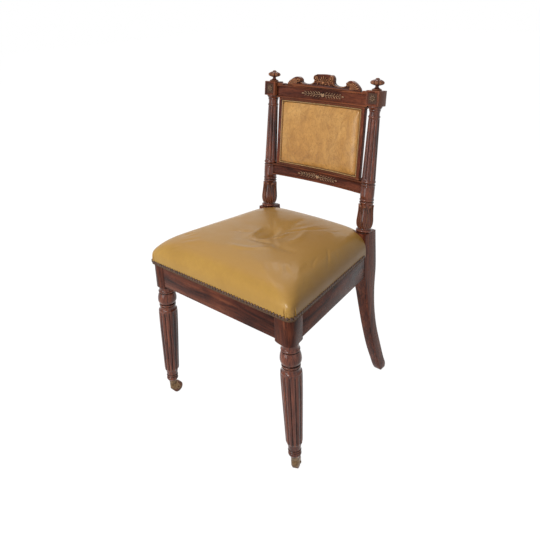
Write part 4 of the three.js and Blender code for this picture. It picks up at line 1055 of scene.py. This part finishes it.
def corner_pleats(obj):
    """Two short folds at each front corner, where the hide is gathered under its nails."""
    mesh = obj.data
    work = bmesh.new()
    work.from_mesh(mesh)
    for _ in range(2):
        near = {e for e in work.edges if all(
            abs(abs(v.co.x) / MM - (FRONT_X - 12)) < 22 and v.co.y / MM < BLOCK_FRONT + 32
            and NAIL_LINE - 6 < v.co.z / MM < NAIL_LINE + 34 for v in e.verts)}
        bmesh.ops.subdivide_edges(work, edges=list(near), cuts=1, use_grid_fill=True)
    for v in work.verts:
        x, y, z = abs(v.co.x) / MM, v.co.y / MM, v.co.z / MM
        up = (z - NAIL_LINE) / 29
        if x < FRONT_X - 40 or y > BLOCK_FRONT + 40 or up > 1.1:
            continue
        fade = min(max(1 - up, 0) * 2.2, 1)
        folds = []
        if y < BLOCK_FRONT + 12:
            folds.append(x - (FRONT_X - 16.5 - 1.5 * up))
        if x > FRONT_X - 14:
            folds.append(y - (BLOCK_FRONT + 13 + 2.5 * up))
        push = sum(-2.3 * math.exp(-(off / 0.95) ** 2) + 1.1 * math.exp(-((off - 3.4) / 2.2) ** 2) for off in folds)
        out = Vector((math.copysign(x - (FRONT_X - 30), v.co.x), y - (BLOCK_FRONT + 30), 0)).normalized()
        v.co += out * push * fade * MM
    work.to_mesh(mesh)
    work.free()


def trimmed(obj, keep, planes=()):
    """Cuts a mesh along planes, then drops the faces whose middle isn't kept."""
    work = bmesh.new()
    work.from_mesh(obj.data)
    for spot, normal in planes:
        everything = work.verts[:] + work.edges[:] + work.faces[:]
        bmesh.ops.bisect_plane(work, geom=everything, plane_co=Vector(spot) * MM, plane_no=normal, dist=1e-6)
    dropped = [f for f in work.faces if not keep(f.calc_center_median() / MM)]
    bmesh.ops.delete(work, geom=dropped, context="FACES")
    work.to_mesh(obj.data)
    work.free()


def sewn(obj, place, material, node):
    """Gives the hide its thickness, puts it in its place on the chair, and dresses it."""
    modified(obj, "SOLIDIFY", thickness=HIDE * MM, offset=-1)
    points = read(obj.data) / MM
    obj.data.vertices.foreach_set("co", np.array([place(p) for p in points]).ravel())
    obj.data.update()
    dressed(obj, material, 55, node=node)


def upholster_seat():
    obj = even_form("seat_hide_cover", seat_form(), 5)

    def held(points):
        button = np.hypot(points[:, 0] - 8, points[:, 1] - SEAT_MIDDLE.y) < 13
        return (points[:, 2] < NAIL_LINE + 30) | (button & (points[:, 2] > BLOCK_TOP + 10))

    swell(obj, held, 4.0, 3.5, 0.2)
    finer(obj)
    points = read(obj.data) / MM
    top = np.clip((points[:, 2] - (NAIL_LINE + 36)) / 22, 0, 1)
    points[:, 2] += seat_folds(points[:, :2]) * top
    write(obj, points)
    corner_pleats(obj)
    notch_x, notch_y = STILE_IN - CLEAR, STILE_FRONT - CLEAR
    hem = NAIL_LINE - 2
    trimmed(obj, lambda p: p.z > hem and not (abs(p.x) > notch_x and p.y > notch_y), (
        ((0, 0, hem), (0, 0, 1)), ((notch_x, 0, 0), (1, 0, 0)), ((-notch_x, 0, 0), (1, 0, 0)),
        ((0, notch_y, 0), (0, 1, 0))))
    sewn(obj, lambda p: at(*p), SEAT_HIDE, "seat_leather")


def filling(node, thinner):
    """The filling, drawn in a little so that it stays behind its hide where that is pulled down."""
    obj = copied(node, "_packed")
    cleaned(obj.data, 2e-6, thinner=thinner)
    finer(obj)
    dressed(obj, STUFFING, 60, node=node)


def dome(centre, along, up, out, radius, tall, facets=12):
    return [[centre + along * (r * radius * math.cos(a)) + up * (r * radius * math.sin(a)) + out * (h * tall)
             for a in turns(facets)]
            for r, h in ((1, -0.16), (1, 0.08), (0.93, 0.45), (0.75, 0.75), (0.45, 0.95), (0.08, 1))]


def hem_runs():
    """The lower edge of the seat leather in plan, as runs that stop at the rear stiles."""
    outline = [Vector(p) for p in seat_ring(HEM_INSET - CLEAR)]
    keep = [p for p in outline if not (p.y > STILE_FRONT - 5 and abs(p.x) > STILE_IN - 4)]
    gap = 15
    start = next(i for i, p in enumerate(keep) if (p - keep[i - 1]).length > gap)
    keep = keep[start:] + keep[:start]
    runs = [[keep[0]]]
    for before, p in zip(keep, keep[1:]):
        if (p - before).length > gap:
            runs.append([])
        runs[-1].append(p)
    return runs


def outwards(p, along):
    """The level direction square to a run of the hem, away from the middle of the seat."""
    out = Vector((along.y, -along.x))
    return -out if out.dot(p - SEAT_MIDDLE) < 0 else out


def nails():
    """Dome headed nails at an even pitch along the lower edge of the seat leather, on a dark hem strip that is partly
    painted shade between and under the nails.
    """
    pitch, radius, tall, steps = 9.2, 4.1, 2.8, 200
    section = ((-1.1, 1.6), (0.4, 1.6), (0.9, 0.6), (1.0, -3.6), (0.7, -4.6), (-1.1, -4.6))
    parts, strips = [], []
    for run in hem_runs():
        lengths = [0.0]
        for a, b in zip(run, run[1:]):
            lengths.append(lengths[-1] + (b - a).length)
        whole = lengths[-1]
        spot = lambda s: Vector([float(np.interp(s, lengths, [p[i] for p in run])) for i in (0, 1)])
        count = max(int(whole / pitch), 1)
        for k in range(count + 1):
            s = whole * k / count
            along = (spot(s + 2) - spot(s - 2)).normalized()
            out = Vector((*outwards(spot(s), along), rng.uniform(-0.06, 0.06))).normalized()
            centre = Vector((*spot(s), NAIL_LINE + 2.7 + rng.uniform(-0.2, 0.2)))
            rings = dome(centre, Vector((*along, 0)), UP, out, radius, tall)
            parts.append(loft([[at(*q) for q in ring] for ring in rings]))
        path = [spot(whole * k / steps) for k in range(steps + 1)]
        rings = []
        for k, p in enumerate(path):
            out = outwards(p, (path[min(k + 1, steps)] - path[max(k - 1, 0)]).normalized())
            rings.append([at(p.x + out.x * v, p.y + out.y * v, NAIL_LINE + h) for v, h in section])
        strips.append(loft(rings))
    piece("seat_nails", merged(*parts), NAIL, 60)
    # Painted shade with a dark hem edge: a dark strip behind and under the nails.
    piece("seat_hem_shade_strip", merged(*strips), HEM_SHADE)


def back_nails():
    """Small nails round the leather that covers the panel from behind."""
    low, high = LOW_RAIL[1] + LIP + 4, TOP_RAIL[0] - LIP - 4
    half = OPENING_HALF - 4
    spots = [(-half + 2 * half * k / 22, w) for w in (low, high) for k in range(23)]
    spots += [(x, low + (high - low) * k / 15) for x in (-half, half) for k in range(1, 15)]
    parts = []
    for x, w in spots:
        rings = dome(Vector((x, 7.3 + bend(x), w)), ACROSS, UP, BACK, 3.2, 1.8, 10)
        parts.append(loft([[on_back(*q) for q in ring] for ring in rings]))
    piece("back_cover_nails", merged(*parts), NAIL, 60)


def pad_ring(inset, v, half_x, half_w):
    """A rounded rectangle at an inset, as points across, up the back and towards the front."""
    x, w = half_x - inset, half_w - inset
    corners = [Vector((a * x, b * w)) for a, b in SQUARE]
    points = rounded_loop(corners, min(5 + max(inset, 0) * 0.4, w * 0.8), 8, 55)
    return [(p.x, p.y, -v) for p in points]


PAD_PROFILE = ((0, 0), (0.03, 0.12), (0.12, 0.3), (0.35, 0.55), (0.6, 0.73), (0.9, 0.87), (1.4, 0.96), (2.2, 1))


def between(p, q, t):
    return p[0] + (q[0] - p[0]) * t, p[1] + (q[1] - p[1]) * t


def back_pad():
    """The padded hide of the back, the strip round it and the stitches along that."""
    low, high = LOW_RAIL[1] + LIP + CLEAR, TOP_RAIL[0] - LIP - CLEAR
    half_x, half_w = OPENING_HALF - CLEAR, (high - low) / 2
    middle = (low + high) / 2
    roll = 0.145 * (high - low)
    rings = [pad_ring(PAD_STRIP, v, half_x, half_w) for v in (PAD_BACK, 0, -3.5)]
    for inset, depth in smooth_rows(PAD_PROFILE, 4):
        rings.append(pad_ring(PAD_STRIP + inset * roll, PAD_EDGE + 1 - depth * PAD_RISE, half_x, half_w))
    obj = even_form("back_hide_cover", rings, 4)
    swell(obj, lambda p: p[:, 2] < 8.5, 2.5, 2.0, 0.0)
    finer(obj)
    points = read(obj.data) / MM
    dx, dw = half_x - PAD_STRIP - np.abs(points[:, 0]), half_w - PAD_STRIP - np.abs(points[:, 1])
    near = np.exp(-np.clip(np.minimum(dx, dw), 0, 99) / 9)
    along = np.where(dx < dw, points[:, 1], points[:, 0])
    points[:, 2] += 0.45 * np.sin(along / 4.3 + 1.7 * np.sin(along / 17)) * near * (points[:, 2] > 5)
    write(obj, points)
    trimmed(obj, lambda p: p.z > -2.5)
    sewn(obj, lambda p: on_back(p[0], -p[2] + bend(p[0]), middle + p[1]), BACK_HIDE,
         "back_panel_leather")

    path = [(cx * (half_x - PAD_STRIP / 2), cw * (half_w - PAD_STRIP / 2)) for cx, cw in SQUARE]
    loop = []
    for i, p in enumerate(path):
        n = 40 if i % 2 else 60
        loop += [between(p, path[(i + 1) % 4], k / n) for k in range(n)]
    loop.append(loop[0])
    welt = ridge(loop, lambda t: PAD_STRIP / 2, lambda t: 5.2, proud_of(PAD_EDGE + 3, middle), 9, 3.0)
    piece("back_hide_strip", welt, RIM_HIDE, 60)

    stitches = []
    place = proud_of(PAD_EDGE + 0.6, middle)
    x, w = half_x - PAD_STRIP - 0.2, half_w - PAD_STRIP - 0.2
    ends = [(a * x, b * w) for a, b in SQUARE]
    for i, p in enumerate(ends):
        q = ends[(i + 1) % 4]
        count = int(math.dist(p, q) / 4.4)
        for k in range(count):
            line = [between(p, q, (k + 0.18 + 0.64 * t) / count) for t in shares(4)]
            stitches.append(ridge(line, lambda t: 0.42, lambda t: 0.5 + 0.4 * math.sin(math.pi * t), place, 5, 0.4))
    piece("back_stitching", merged(*stitches), TAN_THREAD, 60)


for side, sign in (("right", 1), ("left", -1)):
    front_leg(side, sign)
    sabre_leg(side, sign)
    column(side, sign)
    die(side, sign)
    finial(side, sign)
    bulb_leaves(side, sign)
    refined("side_rail_" + side, WOOD_SIDE, 0.7)
    refined("back_inner_stile_" + side, WOOD, 0.7)
    for part, ease, material, body in (
            ("cup", 0.35, BRASS, "frame"), ("pin", 0, BRASS, "frame"), ("horn", 0.35, BRASS, "castor_fork_" + side),
            ("axle", 0, BRASS, "castor_fork_" + side), ("wheel", 0.35, DARK_BRASS, "castor_roller_" + side)):
        refined("castor_" + part + "_" + side, material, ease, 38, body)
refined("front_rail", WOOD_FRONT, 0.7)
refined("rear_rail", WOOD_RAIL, 0.7)
back_rails()
cresting()
upholster_seat()
filling("seat_stuffing", 6)
filling("back_panel_stuffing", 2.5)
nails()
back_nails()
back_pad()

# What no piece of this script stands for is shown as the CAD made it
CAD_LOOKS = (("webbing", JUTE), ("base_cloth", HESSIAN), ("canvas", HESSIAN), ("stuffing", STUFFING),
             ("brace", BEECH), ("castor", BRASS), ("leather", BACK_HIDE), ("", WOOD))
for name, obj in nodes.items():
    if not obj.hide_render:
        obj.data.materials.clear()
        obj.data.materials.append(next(material for word, material in CAD_LOOKS if word in name))


# Floor, light and camera

FLOOR_SIZE = 12
FLOOR_COLOR = (0.66, 0.66, 0.66)
FLOOR_GLOW = 1.17
FLOOR_GLOW_SHARE = 0.84
WORLD_LIGHT = 0.2
WHITE = (1, 1, 1)
# Place, aim, size and power of each area light, in metres and watts
LIGHTS = {
    "key": ((0.35, -2.3, 2.1), (0, 0, 0.45), (0.8, 0.8), 41),
    "top": ((-0.6, -0.1, 2.6), (0, 0, 0.4), (1.0, 1.0), 7),
    "strip": ((-0.35, -2.6, 0.8), (0, 0.2, 0.6), (1.3, 1.4), 19),
    "rear": ((-0.8, 1.7, 2.2), (0, 0, 0.5), (1.2, 1.2), 15),
    "side": ((2.5, -0.5, 1.1), (0, 0, 0.45), (2.2, 2.2), 6),
}


def show_white(tree, plain_shader, white_shader, share, end):
    """The rays that show the background, those of the camera, of gloss and of glass, see the white."""
    rays = add_node(tree, "ShaderNodeLightPath").outputs
    seen = add_maths(tree, "MAXIMUM", rays["Is Camera Ray"], rays["Is Glossy Ray"])
    seen = add_maths(tree, "MAXIMUM", seen, rays["Is Transmission Ray"])
    mix = add_node(tree, "ShaderNodeMixShader", Fac=add_maths(tree, "MULTIPLY", seen, share))
    for socket, shader in zip(mix.inputs[1:], (plain_shader, white_shader)):
        give(tree, socket, shader.outputs[0])
    give(tree, end.inputs["Surface"], mix.outputs[0])


def studio():
    form = [(a * FLOOR_SIZE, b * FLOOR_SIZE, 0) for a, b in SQUARE], [(0, 1, 2, 3)]
    floor = new_object("studio_floor", *form)
    floor.location.z = -0.0005
    made = bpy.data.materials.new("studio_floor")
    made.use_nodes = True
    tree = made.node_tree
    tree.nodes.clear()
    show_white(tree, add_node(tree, "ShaderNodeBsdfDiffuse", Color=FLOOR_COLOR),
               add_node(tree, "ShaderNodeEmission", Color=WHITE, Strength=FLOOR_GLOW), FLOOR_GLOW_SHARE,
               add_node(tree, "ShaderNodeOutputMaterial"))
    floor.data.materials.append(made)

    world = bpy.data.worlds.new("studio")
    bpy.context.scene.world = world
    world.use_nodes = True
    tree = world.node_tree
    soft = tree.nodes["Background"]
    give(tree, soft.inputs["Color"], WHITE)
    give(tree, soft.inputs["Strength"], WORLD_LIGHT)
    show_white(tree, soft, add_node(tree, "ShaderNodeBackground", Color=WHITE, Strength=1), 1,
               tree.nodes["World Output"])

    for name, (spot, aim, size, power) in LIGHTS.items():
        lamp = bpy.data.lights.new(name, "AREA")
        lamp.energy = power
        lamp.shape = "RECTANGLE"
        lamp.size, lamp.size_y = size
        holder = linked(bpy.data.objects.new(name, lamp))
        holder.location = spot
        holder.rotation_euler = (Vector(aim) - Vector(spot)).to_track_quat("-Z", "Y").to_euler()


# The camera that was fitted to the photograph. Its focal length is a share of the picture's width.
CAMERA_TURN = [math.radians(a) for a in (42.075, 21.134, -1.825)]
CAMERA_PLACE = (900.7, -811.6, 1068.0)
SENSOR = 36
FOCAL_SHARE = 562 / 540
PICTURE_SHIFT = -0.1


def camera():
    yaw, pitch, roll = CAMERA_TURN
    back = Vector((math.sin(yaw) * math.cos(pitch), -math.cos(yaw) * math.cos(pitch), math.sin(pitch)))
    right = (-back).cross(UP).normalized()
    up = right.cross(-back)
    turned_right = right * math.cos(roll) + up * math.sin(roll)
    turned_up = up * math.cos(roll) - right * math.sin(roll)
    data = bpy.data.cameras.new("photo_camera")
    data.sensor_width = SENSOR
    data.lens = SENSOR * FOCAL_SHARE
    data.shift_y = PICTURE_SHIFT
    holder = linked(bpy.data.objects.new("photo_camera", data))
    matrix = Matrix((TIP @ turned_right, TIP @ turned_up, TIP @ back)).transposed().to_4x4()
    matrix.translation = at(*CAMERA_PLACE)
    holder.matrix_world = matrix
    bpy.context.scene.camera = holder


studio()
camera()
bpy.context.scene.view_settings.view_transform = "Standard"

bpy.context.view_layer.update()
